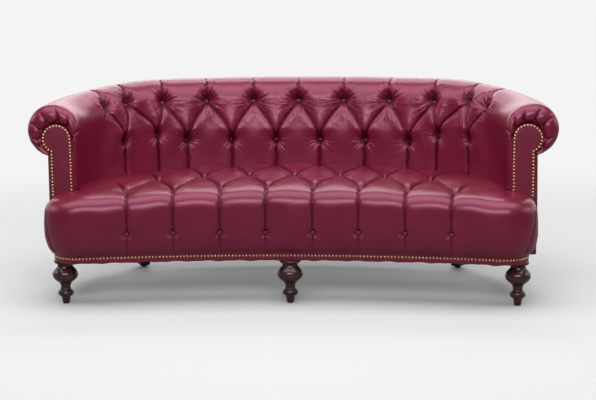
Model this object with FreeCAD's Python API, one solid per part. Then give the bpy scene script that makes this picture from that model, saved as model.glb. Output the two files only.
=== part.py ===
import FreeCAD, Part
import math
import os

from FreeCAD import Vector

# A chesterfield sofa in millimetres: +Z up, X across, the front towards -Y, the floor at Z 0.
# Its back and arms follow one plan line, a shallow arc that turns into the arms on tighter arcs.
# Offsets called n run outward from that line, so inner faces have negative n.

# Overall size
overall_width = 2140.0
overall_depth = 982.0
overall_height = 830.0
arm_height = 786.0

# Plan line of the outside back
back_radius = 2000.0
back_half_angle = 17.2

# Rolled top of the back and arms
roll_radius = 103.0
roll_overhang = 83.0
roll_skin = 14.0

# Inside back and arms, measured in from the outside line at seat level
inside_back_depth = 150.0
inside_arm_depth = 105.0
inside_skin = 25.0
skin_foot_height = 330.0
panel_thickness = 2.7

# Gathered arm fronts and their facings
arm_swell = 38.0
arm_nose_radius = 70.0
arm_nose_inset = 14.0
arm_nose_drop = 26.0
arm_front_foot = 400.0
facing_head_radius = 60.0
facing_head_inset = 40.0
facing_head_drop = 33.0
facing_stem_depth = 101.0
facing_stem_inset = 13.0
facing_thickness = 10.0

# Seat
seat_height = 465.0
seat_crown = 38.0
seat_fall = 10.0
seat_belly = 28.0
seat_edge_radius = 75.0
seat_edge_share = 0.8
seat_round_share = 0.945
seat_front_shares = (0.25, 0.43, 0.62)
seat_end_shares = (0.4, 0.8)
seat_band_share = 0.1
seat_tuck = 108.0
lean_start_rise = 5.0

# Base of the seat front, at the nail line
base_width = 1894.0
front_curve_radius = 4250.0
front_corner_radius = 100.0
nail_height = 198.0
leg_height = 178.0

# Timber frame
rail_height = 110.0
rail_thickness = 32.0
rail_inset = 8.0
side_rail_inset = 6.0
frame_depth = 60.0
top_rail_drop = 58.0
top_rail_height = 92.0
post_thickness = 32.0
post_depth = 76.0
post_inset = 5.0
post_head_radius = 80.0
back_post_width = 40.0
back_post_inset = 8.0
stay_width = 36.0
arm_stay_depth = 27.0
back_stay_angle = 7.3
arm_stay_angle = 52.0
tacking_rail_height = 35.0
tacking_rail_depth = 22.0
stretcher_width = 32.0
stretcher_height = 70.0
stretcher_spacing = 660.0
leg_block_size = 80.0
leg_block_height = 60.0
dowel_diameter = 10.0
dowel_length = 50.0
dowel_spacing = 60.0

# Seat springs and layers
spring_count = 9
spring_spacing = 170.0
spring_wire = 4.0
spring_width = 60.0
spring_bend = 20.0
clip_width = 24.0
clip_depth = 18.0
clip_height = 8.0
hessian_thickness = 1.3
webbing_thickness = 2.0
webbing_width = 50.0
back_web_count = 7
arm_web_count = 4
arm_web_reach = 0.89
stuffing_height = 400.0
well_half_width = 800.0
well_front_setback = 4.0
dust_cover_thickness = 1.0
dust_cover_inset = 12.0

# Legs
leg_foot_radius = 13.5
leg_ankle_radius = 18.0
leg_ankle_height = 28.0
leg_bead_radius = 30.0
leg_bead_height = 45.0
leg_neck_radius = 17.0
leg_neck_height = 70.0
leg_bulb_radius = 49.5
leg_bulb_height = 119.0
leg_throat_radius = 28.0
leg_throat_height = 158.0
leg_bulge = 2.7
leg_throat_hollow = 1.8
leg_collar_radius = 43.0
leg_collar_height = 8.0
front_leg_out = 58.0
front_leg_forward = 19.0
rear_leg_angle = 28.0
rear_leg_top = 56.0
rear_leg_foot = 44.0
rear_leg_rake = 30.0
rear_leg_chamfer = 7.0
glide_radius = 10.0
glide_height = 6.0
bolt_diameter = 8.0
bolt_in_leg = 40.0
bolt_in_frame = 45.0

# Buttons, pleats and nails
button_radius = 9.0
button_dome = 4.5
back_button_pitch = 207.0
upper_button_count = 11
upper_button_rise = 7.0
lower_button_drop = 156.0
seat_button_pitch = 189.0
seat_button_columns = 8
front_button_height = 292.0
edge_button_setback = 130.0
inner_button_setback = 310.0
back_dimple_depth = 12.0
seat_dimple_depth = 18.0
dimple_radius = 24.0
dimple_mouth = 6.0
pleat_width = 4.0
pleat_depth = 12.0
pleat_rise = 60.0
roll_pleat_sweep = 100.0
gather_width = 3.0
gather_depth = 9.0
gather_count = 7
gather_start = -30.0
gather_sweep = 210.0
nail_radius = 4.8
nail_dome = 3.2
nail_pitch = 13.8
facing_nail_inset = 6.0

# Room left between pieces that only lie against each other, and round pins in their holes
gap = 0.3
pin_clearance = 0.15

# Sections drawn along the curved pieces
arm_stations = 9
front_stations = 9
corner_stations = 7
side_step = 0.5
nose_stations = 5
dust_cover_sides = 24
share_halvings = 50

# Worked-out plan values
back_turn = math.radians(back_half_angle)
roll_n = roll_overhang - roll_radius
half_span = overall_width / 2 - roll_overhang
back_y = overall_depth / 2 - roll_overhang
seat_back_reach = back_y - seat_tuck
arm_radius = (half_span - back_radius * math.sin(back_turn)) / (1 - math.sin(back_turn))
back_centre = Vector(0, back_y - back_radius, 0)
arm_centre = back_centre + Vector(math.sin(back_turn), math.cos(back_turn), 0) * (back_radius - arm_radius)
arm_front_y = arm_centre.y
arm_turn = math.pi / 2 - back_turn
back_half_length = back_radius * back_turn
arm_length = arm_radius * arm_turn

base_half = base_width / 2
corner_x = base_half - front_corner_radius
corner_y = front_corner_radius + seat_belly - overall_depth / 2
front_reach = front_curve_radius + front_corner_radius
front_centre_y = corner_y - math.sqrt(front_reach ** 2 - corner_x ** 2)
front_turn = math.asin(corner_x / front_reach)
front_half_width = front_curve_radius * math.sin(front_turn)

roll_z_back = overall_height - roll_radius
roll_z_arm = arm_height - roll_radius
lean_start = seat_height + lean_start_rise
rail_bottom = leg_height
rail_top = rail_bottom + rail_height
leather_bottom = rail_bottom + gap
frame_outer = panel_thickness + gap
spring_z = rail_top + clip_height / 2
hessian_bottom = rail_top + clip_height + gap
hessian_top = hessian_bottom + hessian_thickness
nose_y = arm_front_y - arm_swell
facing_back_y = nose_y - gap
facing_front_y = facing_back_y - facing_thickness

parts = {}


# Placing and sweeping

def plan(centre, radius, angle, n, z):
    reach = radius + n
    return Vector(centre.x + reach * math.sin(angle), centre.y + reach * math.cos(angle), z)


def ease(t):
    return t * t * (3 - 2 * t)


def roll_height(t):
    return roll_z_back + (roll_z_arm - roll_z_back) * ease(t)


def inside_depth(t):
    return inside_back_depth + (inside_arm_depth - inside_back_depth) * ease(t)


def outline(place, start, steps):
    """Closed wire of lines (one point each) and arcs (middle and end point), placed by place(n, z)."""
    edges = []
    here = place(*start)
    for step in steps:
        there = place(*step[-1])
        if len(step) == 1:
            edges.append(Part.LineSegment(here, there).toShape())
        else:
            edges.append(Part.Arc(here, place(*step[0]), there).toShape())
        here = there
    return Part.Wire(edges)


def back_sweep(profile, first=-back_turn, last=back_turn):
    def place(n, z):
        return plan(back_centre, back_radius, first, n, z)

    face = Part.Face(outline(place, *profile))
    return face.revolve(back_centre, Vector(0, 0, -1), math.degrees(last - first))


def arm_sweep(profile_at):
    wires = []
    for station in range(arm_stations + 1):
        t = station / arm_stations
        angle = back_turn + t * arm_turn

        def place(n, z):
            return plan(arm_centre, arm_radius, angle, n, z)

        wires.append(outline(place, *profile_at(t)))
    return Part.makeLoft(wires, True, True)


def facet(angle):
    """How much nearer the arm's flat facets lie than its true arc, as a share of the radius."""
    step = arm_turn / arm_stations
    middle = (math.floor((angle - back_turn) / step + 1e-9) + 0.5) * step + back_turn
    return math.cos(step / 2) / math.cos(angle - middle)


def box_profile(n0, n1, z0, z1):
    return (n0, z0), [((n1, z0),), ((n1, z1),), ((n0, z1),), ((n0, z0),)]


def roll_point(height, radius, degrees):
    angle = math.radians(degrees)
    return roll_n + radius * math.cos(angle), height + radius * math.sin(angle)


def prism(points, z0, z1):
    corners = [Vector(x, y, z0) for x, y in points]
    face = Part.Face(Part.makePolygon(corners + corners[:1]))
    return face.extrude(Vector(0, 0, z1 - z0))


def upright(centre, radius, angle, width, n0, n1, z0, z1):
    across = Vector(math.cos(angle), -math.sin(angle), 0) * (width / 2)
    inner = plan(centre, radius, angle, n0, 0)
    outer = plan(centre, radius, angle, n1, 0)
    corners = [inner - across, inner + across, outer + across, outer - across]
    return prism([(p.x, p.y) for p in corners], z0, z1)


def box_between(x0, x1, y0, y1, z0, z1):
    return Part.makeBox(x1 - x0, y1 - y0, z1 - z0, Vector(x0, y0, z0))


def mirrored(shape):
    return shape.mirror(Vector(0, 0, 0), Vector(1, 0, 0))


def pair(name, shape):
    parts[name + "_right"] = shape
    parts[name + "_left"] = mirrored(shape)


def both_sides(shapes):
    return shapes + [mirrored(shape) for shape in shapes]


behind_post = box_between(
    0, overall_width, arm_front_y + gap + post_thickness, overall_depth, 0, overall_height
)


# Front line of the seat: inset is how far behind the nail line a point lies

def front_y(x, inset):
    x = abs(x)
    if x <= front_half_width:
        return front_centre_y + math.sqrt((front_curve_radius + inset) ** 2 - x ** 2)
    reach = (front_corner_radius - inset) ** 2 - (x - corner_x) ** 2
    return corner_y - math.sqrt(max(reach, 0.0))


def base_outline(inset, back_points):
    """Plan wire along the seat front, round both corners and along back_points, from right to left."""
    radius = front_corner_radius - inset
    reach = front_curve_radius + inset
    tip = Vector(-math.sin(front_turn), -math.cos(front_turn), 0)
    side = Vector(1, 0, 0)
    middle = (tip + side).normalize()
    corner = Vector(corner_x, corner_y, 0)
    start = corner + tip * radius
    end = corner + side * radius
    front = Vector(0, front_centre_y + reach, 0)

    def flip(point):
        return Vector(-point.x, point.y, 0)

    edges = [
        Part.Arc(flip(start), front, start).toShape(),
        Part.Arc(start, corner + middle * radius, end).toShape(),
    ]
    here = end
    for point in back_points + [flip(end)]:
        edges.append(Part.LineSegment(here, point).toShape())
        here = point
    edges.append(Part.Arc(flip(end), flip(corner + middle * radius), flip(start)).toShape())
    return Part.Wire(edges)


def base_prism(inset, back_points, z0, z1):
    wire = base_outline(inset, back_points)
    wire.translate(Vector(0, 0, z0))
    return Part.Face(wire).extrude(Vector(0, 0, z1 - z0))


# Timber frame: rails round the base, posts and stays on them, top and tacking rails between

side_rail_inner = side_rail_inset + rail_thickness
rail_section = box_profile(-side_rail_inner, -side_rail_inset, rail_bottom, rail_top)
back_rail = back_sweep(rail_section)
side_rail = arm_sweep(lambda t: rail_section).common(behind_post)

rail_front = Part.Face(Part.makePolygon([
    Vector(0, front_centre_y + front_curve_radius + rail_inset, rail_bottom),
    Vector(0, front_centre_y + front_curve_radius + rail_inset + rail_thickness, rail_bottom),
    Vector(0, front_centre_y + front_curve_radius + rail_inset + rail_thickness, rail_top),
    Vector(0, front_centre_y + front_curve_radius + rail_inset, rail_top),
    Vector(0, front_centre_y + front_curve_radius + rail_inset, rail_bottom),
]))
front_axis = Vector(0, front_centre_y, 0)
rail_front.rotate(front_axis, Vector(0, 0, 1), math.degrees(front_turn))
front_rail = rail_front.revolve(front_axis, Vector(0, 0, -1), 2 * math.degrees(front_turn))

block_radius = front_corner_radius - rail_inset
corner = Vector(corner_x, corner_y, rail_bottom)
tip_way = Vector(-math.sin(front_turn), -math.cos(front_turn), 0)
side_way = Vector(1, 0, 0)
block_start = corner + tip_way * block_radius
block_end = corner + side_way * block_radius
block_middle = corner + (tip_way + side_way).normalize() * block_radius
corner_block = Part.Face(Part.Wire([
    Part.LineSegment(corner, block_start).toShape(),
    Part.Arc(block_start, block_middle, block_end).toShape(),
    Part.LineSegment(block_end, corner).toShape(),
])).extrude(Vector(0, 0, rail_height))

return_outer = base_half - rail_inset
return_rail = box_between(
    return_outer - rail_thickness, return_outer, corner_y, arm_front_y + gap, rail_bottom, rail_top
)

post_shaft = box_between(
    half_span - post_depth, half_span - post_inset,
    arm_front_y + gap, arm_front_y + gap + post_thickness, rail_bottom, roll_z_arm
)
post_head = Part.makeCylinder(
    post_head_radius, post_thickness,
    Vector(half_span + roll_n, arm_front_y + gap, roll_z_arm), Vector(0, 1, 0)
)
arm_post = post_shaft.fuse(post_head).removeSplitter()

top_rail_back = back_sweep(box_profile(
    -frame_depth, -frame_outer,
    roll_z_back - top_rail_drop - top_rail_height, roll_z_back - top_rail_drop
))


def top_rail_section(t):
    top = roll_height(t) - top_rail_drop
    return box_profile(-frame_depth, -frame_outer, top - top_rail_height, top)


top_rail_arm = arm_sweep(top_rail_section).common(behind_post)

back_top_bottom = roll_z_back - top_rail_drop - top_rail_height
back_post = upright(
    back_centre, back_radius, back_turn, back_post_width,
    -frame_depth, -back_post_inset, rail_top, back_top_bottom - 2 * gap
)

tacking_top = skin_foot_height + tacking_rail_height
tacking_section = box_profile(
    -frame_depth, tacking_rail_depth - frame_depth, skin_foot_height, tacking_top
)
tacking_rail_back = back_sweep(tacking_section).cut([back_post, mirrored(back_post)])
tacking_rail_arm = arm_sweep(lambda t: tacking_section).common(behind_post).cut(back_post)

arm_stay_turn = math.radians(arm_stay_angle)
arm_stay_share = (arm_stay_turn - back_turn) / arm_turn + stay_width / 2 / arm_length
arm_stay_top = roll_height(arm_stay_share) - top_rail_drop - top_rail_height
arm_stay = upright(
    arm_centre, arm_radius, arm_stay_turn, stay_width,
    tacking_rail_depth - frame_depth, tacking_rail_depth - frame_depth + arm_stay_depth,
    rail_top, arm_stay_top - 2 * gap
)
back_stay = upright(
    back_centre, back_radius, math.radians(back_stay_angle), stay_width,
    tacking_rail_depth - frame_depth + gap, -back_post_inset, rail_top, back_top_bottom - gap
)


def back_rail_y(x, n):
    if abs(x) <= back_radius * math.sin(back_turn):
        return back_centre.y + math.sqrt((back_radius + n) ** 2 - x ** 2)
    return arm_centre.y + math.sqrt((arm_radius + n) ** 2 - (abs(x) - arm_centre.x) ** 2)


def stretcher(x):
    points = []
    for side in (-stretcher_width / 2, stretcher_width / 2):
        points.append((x + side, front_y(x + side, rail_inset + rail_thickness) + gap))
    for side in (stretcher_width / 2, -stretcher_width / 2):
        points.append((x + side, back_rail_y(x + side, -side_rail_inner) - gap))
    return prism(points, rail_bottom, rail_bottom + stretcher_height)


seat_stretcher = stretcher(stretcher_spacing / 2)

rail_back_inset = rail_inset + rail_thickness
middle_block = prism(
    [
        (-leg_block_size / 2, front_y(leg_block_size / 2, rail_back_inset) + gap),
        (leg_block_size / 2, front_y(leg_block_size / 2, rail_back_inset) + gap),
        (leg_block_size / 2, front_y(leg_block_size / 2, rail_back_inset) + gap + leg_block_size / 2),
        (-leg_block_size / 2, front_y(leg_block_size / 2, rail_back_inset) + gap + leg_block_size / 2),
    ],
    rail_bottom, rail_bottom + leg_block_height
)
rear_leg_turn = math.radians(rear_leg_angle)
rail_inner_reach = (arm_radius - side_rail_inner) * math.cos(arm_turn / arm_stations / 2)
rear_block_reach = math.sqrt(rail_inner_reach ** 2 - (leg_block_size / 2) ** 2)
rear_block_outer = rear_block_reach - gap - arm_radius
rear_block = upright(
    arm_centre, arm_radius, rear_leg_turn, leg_block_size,
    rear_block_outer - leg_block_size / 2, rear_block_outer,
    rail_bottom, rail_bottom + leg_block_height
)


# Legs: three turned ones in front, two raked square ones behind on nylon glides

def turned_leg(x, y):
    def at(z, radius):
        return Vector(radius, 0, z)

    def between(low, high, swell):
        return at((low.z + high.z) / 2, (low.x + high.x) / 2 + swell)

    ankle = at(leg_ankle_height, leg_ankle_radius)
    bead = at(leg_bead_height, leg_bead_radius)
    neck = at(leg_neck_height, leg_neck_radius)
    bulb = at(leg_bulb_height, leg_bulb_radius)
    throat = at(leg_throat_height, leg_throat_radius)
    bead_low = between(ankle, bead, 0)
    bead_high = between(bead, neck, 0)
    waist = between(neck, bulb, 0)
    crown = between(bulb, throat, 0)
    collar_bottom = leg_height - leg_collar_height
    foot = [at(0, 0), at(0, leg_foot_radius), ankle, bead_low]
    collar = [
        throat, at(collar_bottom, leg_throat_radius), at(collar_bottom, leg_collar_radius),
        at(leg_height, leg_collar_radius), at(leg_height, 0), at(0, 0),
    ]
    edges = [Part.LineSegment(a, b).toShape() for a, b in zip(foot, foot[1:])]
    edges.append(Part.Arc(bead_low, bead, bead_high).toShape())
    edges.append(Part.LineSegment(bead_high, neck).toShape())
    edges.append(Part.Arc(neck, between(neck, waist, -leg_bulge), waist).toShape())
    edges.append(Part.Arc(waist, between(waist, bulb, leg_bulge), bulb).toShape())
    edges.append(Part.Arc(bulb, between(bulb, crown, leg_bulge), crown).toShape())
    edges.append(Part.Arc(crown, between(crown, throat, -leg_throat_hollow), throat).toShape())
    edges += [Part.LineSegment(a, b).toShape() for a, b in zip(collar, collar[1:])]
    leg = Part.Face(Part.Wire(edges)).revolve(Vector(0, 0, 0), Vector(0, 0, 1), 360)
    leg.translate(Vector(x, y, 0))
    return leg


def square_at(centre, size, angle, z):
    across = Vector(math.cos(angle), -math.sin(angle), 0) * (size / 2)
    outward = Vector(math.sin(angle), math.cos(angle), 0) * (size / 2)
    middle = Vector(centre.x, centre.y, z)
    corners = [
        middle - across - outward, middle + across - outward,
        middle + across + outward, middle - across + outward,
    ]
    return Part.makePolygon(corners + corners[:1])


rear_top_n = -side_rail_inset - rail_thickness / 2
rear_top = plan(arm_centre, arm_radius, rear_leg_turn, rear_top_n, 0)
rear_foot = plan(arm_centre, arm_radius, rear_leg_turn, rear_top_n + rear_leg_rake, 0)
rear_leg = Part.makeLoft([
    square_at(rear_foot, rear_leg_foot - 2 * rear_leg_chamfer, rear_leg_turn, glide_height),
    square_at(rear_foot, rear_leg_foot, rear_leg_turn, glide_height + rear_leg_chamfer),
    square_at(rear_top, rear_leg_top, rear_leg_turn, leg_height),
], True, True)
glide = Part.makeCylinder(glide_radius, glide_height, rear_foot)

front_leg_x = corner_x + front_leg_out
front_leg_y = corner_y - front_leg_forward
middle_leg_y = front_y(0, rail_inset + rail_thickness / 2)
leg_spots = {
    "front_leg_left": Vector(-front_leg_x, front_leg_y, 0),
    "front_leg_middle": Vector(0, middle_leg_y, 0),
    "front_leg_right": Vector(front_leg_x, front_leg_y, 0),
    "rear_leg_left": Vector(-rear_top.x, rear_top.y, 0),
    "rear_leg_right": rear_top,
}


def bolt_at(spot, radius, spare):
    base = Vector(spot.x, spot.y, leg_height - bolt_in_leg - spare)
    return Part.makeCylinder(radius, bolt_in_leg + bolt_in_frame + 2 * spare, base)


bolt_radius = bolt_diameter / 2
bolts = [bolt_at(spot, bolt_radius, 0) for spot in leg_spots.values()]
bolt_holes = [bolt_at(spot, bolt_radius + pin_clearance, gap) for spot in leg_spots.values()]
legs = {name: turned_leg(spot.x, spot.y) for name, spot in leg_spots.items() if "front" in name}
legs["rear_leg_right"] = rear_leg
legs["rear_leg_left"] = mirrored(rear_leg)


# Dowels across the glued joints of the base

dowel_middle = (rail_bottom + rail_top) / 2
dowel_spots = []
for rise in (-dowel_spacing / 2, dowel_spacing / 2):
    height = dowel_middle + rise
    along = Vector(math.cos(front_turn), -math.sin(front_turn), 0)
    joint = corner + tip_way * (block_radius - rail_thickness / 2)
    dowel_spots.append((Vector(joint.x, joint.y, height), along))
    dowel_spots.append((Vector(return_outer - rail_thickness / 2, corner_y, height), Vector(0, 1, 0)))
    post_joint = (return_outer + half_span - post_depth) / 2
    dowel_spots.append((Vector(post_joint, arm_front_y + gap, height), Vector(0, 1, 0)))


def dowel_set(radius, spare):
    length = dowel_length + 2 * spare
    return [Part.makeCylinder(radius, length, at - way * (length / 2), way) for at, way in dowel_spots]


dowels = both_sides(dowel_set(dowel_diameter / 2, 0))
dowel_holes = both_sides(dowel_set(dowel_diameter / 2 + pin_clearance, gap))
holes = bolt_holes + dowel_holes

parts["front_rail"] = front_rail.cut(holes)
parts["back_rail"] = back_rail
pair("side_rail", side_rail.cut(holes))
pair("return_rail", return_rail.cut(holes))
pair("front_corner_block", corner_block.cut(holes))
pair("arm_post", arm_post.cut(holes))
pair("back_post", back_post)
pair("top_rail_arm", top_rail_arm)
parts["top_rail_back"] = top_rail_back
parts["tacking_rail_back"] = tacking_rail_back
pair("tacking_rail_arm", tacking_rail_arm)
parts["frame_stays"] = Part.makeCompound(both_sides([back_stay, arm_stay]))
parts["seat_stretchers"] = Part.makeCompound(both_sides([seat_stretcher]))
leg_blocks = [middle_block] + both_sides([rear_block])
parts["leg_blocks"] = Part.makeCompound([block.cut(holes) for block in leg_blocks])
parts["frame_dowels"] = Part.makeCompound(dowels)
for name, leg in legs.items():
    parts[name] = leg.cut(bolt_holes)
parts["leg_bolts"] = Part.makeCompound(bolts)
parts["rear_leg_glides"] = Part.makeCompound(both_sides([glide]))


# Seat suspension: zigzag wire springs held in clips on the rails

spring_xs = [(k - (spring_count - 1) / 2) * spring_spacing for k in range(spring_count)]
rail_middle_n = -side_rail_inset - rail_thickness / 2


def spring_ends(x):
    return front_y(x, rail_inset + rail_thickness / 2), back_rail_y(x, rail_middle_n)


def zigzag(x):
    first, last = spring_ends(x)
    bends = round((last - first) / (2 * spring_bend))
    radius = (last - first) / (2 * bends)
    half_run = spring_width / 2 - radius
    edges = []
    y = first
    way = 1
    for bend in range(bends):
        start = Vector(x - way * half_run, y, spring_z)
        turn = Vector(x + way * half_run, y, spring_z)
        edges.append(Part.LineSegment(start, turn).toShape())
        outer = Vector(x + way * (half_run + radius), y + radius, spring_z)
        y += 2 * radius
        edges.append(Part.Arc(turn, outer, Vector(x + way * half_run, y, spring_z)).toShape())
        way = -way
    edges.append(Part.LineSegment(
        Vector(x - way * half_run, y, spring_z), Vector(x + way * half_run, y, spring_z)
    ).toShape())
    start = edges[0].Vertexes[0].Point
    ring = Part.Wire([Part.makeCircle(spring_wire / 2, start, Vector(1, 0, 0))])
    return Part.Wire(edges).makePipeShell([ring], True, False)


def clip(x, y):
    body = box_between(
        x - clip_width / 2, x + clip_width / 2, y - clip_depth / 2, y + clip_depth / 2,
        rail_top, rail_top + clip_height
    )
    wire = Part.makeCylinder(
        spring_wire / 2 + pin_clearance, spring_width, Vector(x - spring_width / 2, y, spring_z),
        Vector(1, 0, 0)
    )
    return body.cut(wire)


parts["seat_springs"] = Part.makeCompound([zigzag(x) for x in spring_xs])
clips = []
for x in spring_xs:
    for y in spring_ends(x):
        clips.append(clip(x, y))
parts["spring_clips"] = Part.makeCompound(clips)


# Seat layers over the springs, inside the well between the arms

well_inset = rail_inset + well_front_setback


def well_prism(spare, z0, z1):
    half = well_half_width - spare
    inset = well_inset + spare
    front = Part.Arc(
        Vector(-half, front_y(half, inset), z0), Vector(0, front_y(0, inset), z0),
        Vector(half, front_y(half, inset), z0)
    ).toShape()
    points = [
        Vector(half, front_y(half, inset), z0), Vector(half, seat_back_reach, z0),
        Vector(-half, seat_back_reach, z0), Vector(-half, front_y(half, inset), z0),
    ]
    sides = [Part.LineSegment(a, b).toShape() for a, b in zip(points, points[1:])]
    return Part.Face(Part.Wire([front] + sides)).extrude(Vector(0, 0, z1 - z0))


def back_room(depth_spare, z0, z1):
    """The space that the back and arms take up in plan, grown inward by depth_spare."""
    far = 2 * roll_radius
    back = back_sweep(box_profile(-inside_back_depth - depth_spare, far, z0, z1))
    arm = arm_sweep(lambda t: box_profile(-inside_depth(t) - depth_spare, far, z0, z1))
    return [back, arm, mirrored(arm)]


layer_room = back_room(gap, 0, overall_height)
parts["seat_hessian"] = well_prism(gap, hessian_bottom, hessian_top).cut(layer_room)
parts["seat_stuffing"] = well_prism(gap, hessian_top + gap, stuffing_height).cut(layer_room)


# Seat cover: one leather and wadding shell, crowned across, full in front and drawn in at the base

def seat_top(x):
    return seat_height - seat_crown * (x / base_half) ** 2


def seat_swell(share):
    """How far the front stands before the nail line at a share of its height."""
    if share <= seat_band_share:
        return 0.0
    if share <= seat_edge_share:
        return seat_belly * math.sin(
            math.pi * (share - seat_band_share) / (seat_edge_share - seat_band_share)
        )
    rest = (share - seat_edge_share) / (1 - seat_edge_share)
    return seat_edge_radius * (math.sqrt(max(1 - rest ** 2, 0.0)) - 1)


def share_where(swell, low, high):
    for step in range(share_halvings):
        middle = (low + high) / 2
        if (seat_swell(middle) < swell) == (seat_swell(low) < swell):
            low = middle
        else:
            high = middle
    return low


belly_share = (seat_band_share + seat_edge_share) / 2
section_levels = (0.0, seat_band_share) + seat_front_shares + (seat_edge_share, seat_round_share, 1.0)


def seat_section(x):
    top = seat_top(x)
    overrun = abs(x) - base_half
    low = 0.0
    high = 1.0
    if overrun > -seat_edge_radius:
        high = share_where(overrun, belly_share, 1.0)
    if overrun > 0:
        low = share_where(overrun, seat_band_share, belly_share)
    shares = [low + level * (high - low) for level in section_levels]
    shares[1] = max(shares[1], seat_band_share)
    points = []
    for share in shares:
        z = leather_bottom + share * (top - leather_bottom)
        points.append(Vector(x, front_y(x, -seat_swell(share)), z))
    back_top = Vector(x, seat_back_reach, points[-1].z - seat_fall)
    back_low = Vector(x, seat_back_reach, points[0].z)
    edges = [Part.LineSegment(points[0], points[1]).toShape()]
    for first in (1, 3, 5):
        edges.append(Part.Arc(*points[first:first + 3]).toShape())
    rim = [points[7], back_top, back_low, points[0]]
    edges += [Part.LineSegment(a, b).toShape() for a, b in zip(rim, rim[1:])]
    return Part.Wire(edges)


seat_stations = [front_half_width * k / front_stations for k in range(front_stations + 1)]
for k in range(corner_stations):
    lean = math.pi / 2 * (k + 1) / corner_stations
    seat_stations.append(corner_x + front_corner_radius * math.sin(lean))
base_line = [Vector(x, front_y(x, 0), nail_height) for x in seat_stations]
for y in (corner_y, arm_front_y):
    base_line.append(Vector(base_half + side_step, y, nail_height))
seat_stations.append(base_half + side_step)
for share in seat_end_shares:
    seat_stations.append(base_half + share * seat_belly)
seat_stations = [-x for x in reversed(seat_stations[1:])] + seat_stations
seat_block = Part.makeLoft([seat_section(x) for x in seat_stations], True, True)

rail_room_side = base_half - rail_inset + gap
rail_room = base_prism(rail_inset - gap, [
    Vector(rail_room_side, overall_depth, 0), Vector(-rail_room_side, overall_depth, 0),
], 0, rail_top + gap)
well_room = well_prism(0, 0, stuffing_height + gap)
nose_room = box_between(
    half_span - inside_arm_depth - gap, overall_width, facing_front_y - gap - nail_dome - gap,
    arm_front_y + gap, arm_front_foot - gap, overall_height
)
seat_cover = seat_block.cut([rail_room, well_room] + layer_room + both_sides([nose_room]))


# Tufts: a dimple at each button, and pleats as narrow furrows between them

def dimple(at, way, depth):
    base = at - way * depth
    floor = button_radius + gap
    slope = (dimple_radius - floor) / depth
    height = depth + dimple_mouth
    return Part.makeCone(floor, floor + slope * height, height, base, way)


def largest(shape):
    """The piece itself, without the crumbs that crossing furrows leave."""
    return max(shape.Solids, key=lambda solid: solid.Volume)


def furrow(first, last, way):
    run = last - first
    side = run.cross(way).normalize() * (pleat_width / 2)
    deep = way * -pleat_depth
    high = way * pleat_rise
    corners = [first + deep - side, last + deep - side, last + high - side, first + high - side]
    return Part.Face(Part.makePolygon(corners + corners[:1])).extrude(side * 2)


def dome(radius, height):
    """A shallow cap of a sphere, flat side down at the origin."""
    sphere = (radius ** 2 + height ** 2) / (2 * height)
    half = math.asin(radius / sphere) / 2
    middle = Vector(sphere * math.sin(half), 0, height - sphere + sphere * math.cos(half))
    rim = Vector(radius, 0, 0)
    crown = Vector(0, 0, height)
    face = Part.Face(Part.Wire([
        Part.LineSegment(Vector(0, 0, 0), rim).toShape(),
        Part.Arc(rim, middle, crown).toShape(),
        Part.LineSegment(crown, Vector(0, 0, 0)).toShape(),
    ]))
    return face.revolve(Vector(0, 0, 0), Vector(0, 0, 1), 360)


button_master = dome(button_radius, button_dome)
nail_master = dome(nail_radius, nail_dome)


def seated(master, at, way):
    piece = master.copy()
    piece.Placement = FreeCAD.Placement(at, FreeCAD.Rotation(Vector(0, 0, 1), way))
    return piece


def button_in(at, way, depth):
    return seated(button_master, at - way * (depth - gap), way)


def seat_surface(x, y):
    edge = front_y(x, seat_edge_radius)
    fall = seat_fall * (y - edge) / (seat_back_reach - edge)
    return Vector(x, y, seat_top(x) - fall)


def front_share(x, z):
    return (z - leather_bottom) / (seat_top(x) - leather_bottom)


up = Vector(0, 0, 1)
forward = Vector(0, -1, 0)
column_xs = [(k - (seat_button_columns - 1) / 2) * seat_button_pitch for k in range(seat_button_columns)]
between_xs = [(a + b) / 2 for a, b in zip(column_xs, column_xs[1:])]


def edge_spot(x):
    return seat_surface(x, front_y(x, 0) + edge_button_setback)


def inner_spot(x):
    return seat_surface(x, front_y(x, 0) + inner_button_setback)


def front_spot(x):
    share = front_share(x, front_button_height)
    return Vector(x, front_y(x, -seat_swell(share)), front_button_height)


def front_furrow(x):
    """One pleat from above the nails, up the front and over the edge to the edge button."""
    top = seat_top(x)
    points = []
    for level in section_levels[2:]:
        z = leather_bottom + level * (top - leather_bottom)
        inward = min(1.0, (1 - level) / (1 - seat_edge_share))
        y = front_y(x, -seat_swell(level)) + pleat_depth * inward
        points.append(Vector(x, y, z - pleat_depth * (1 - inward)))
    back = edge_spot(x) - up * pleat_depth
    high = top + pleat_rise
    out = points[0].y - pleat_rise
    points += [back, Vector(x, back.y, high), Vector(x, out, high), Vector(x, out, points[0].z)]
    face = Part.Face(Part.makePolygon(points + points[:1]))
    face.translate(Vector(-pleat_width / 2, 0, 0))
    return face.extrude(Vector(pleat_width, 0, 0))


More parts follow.
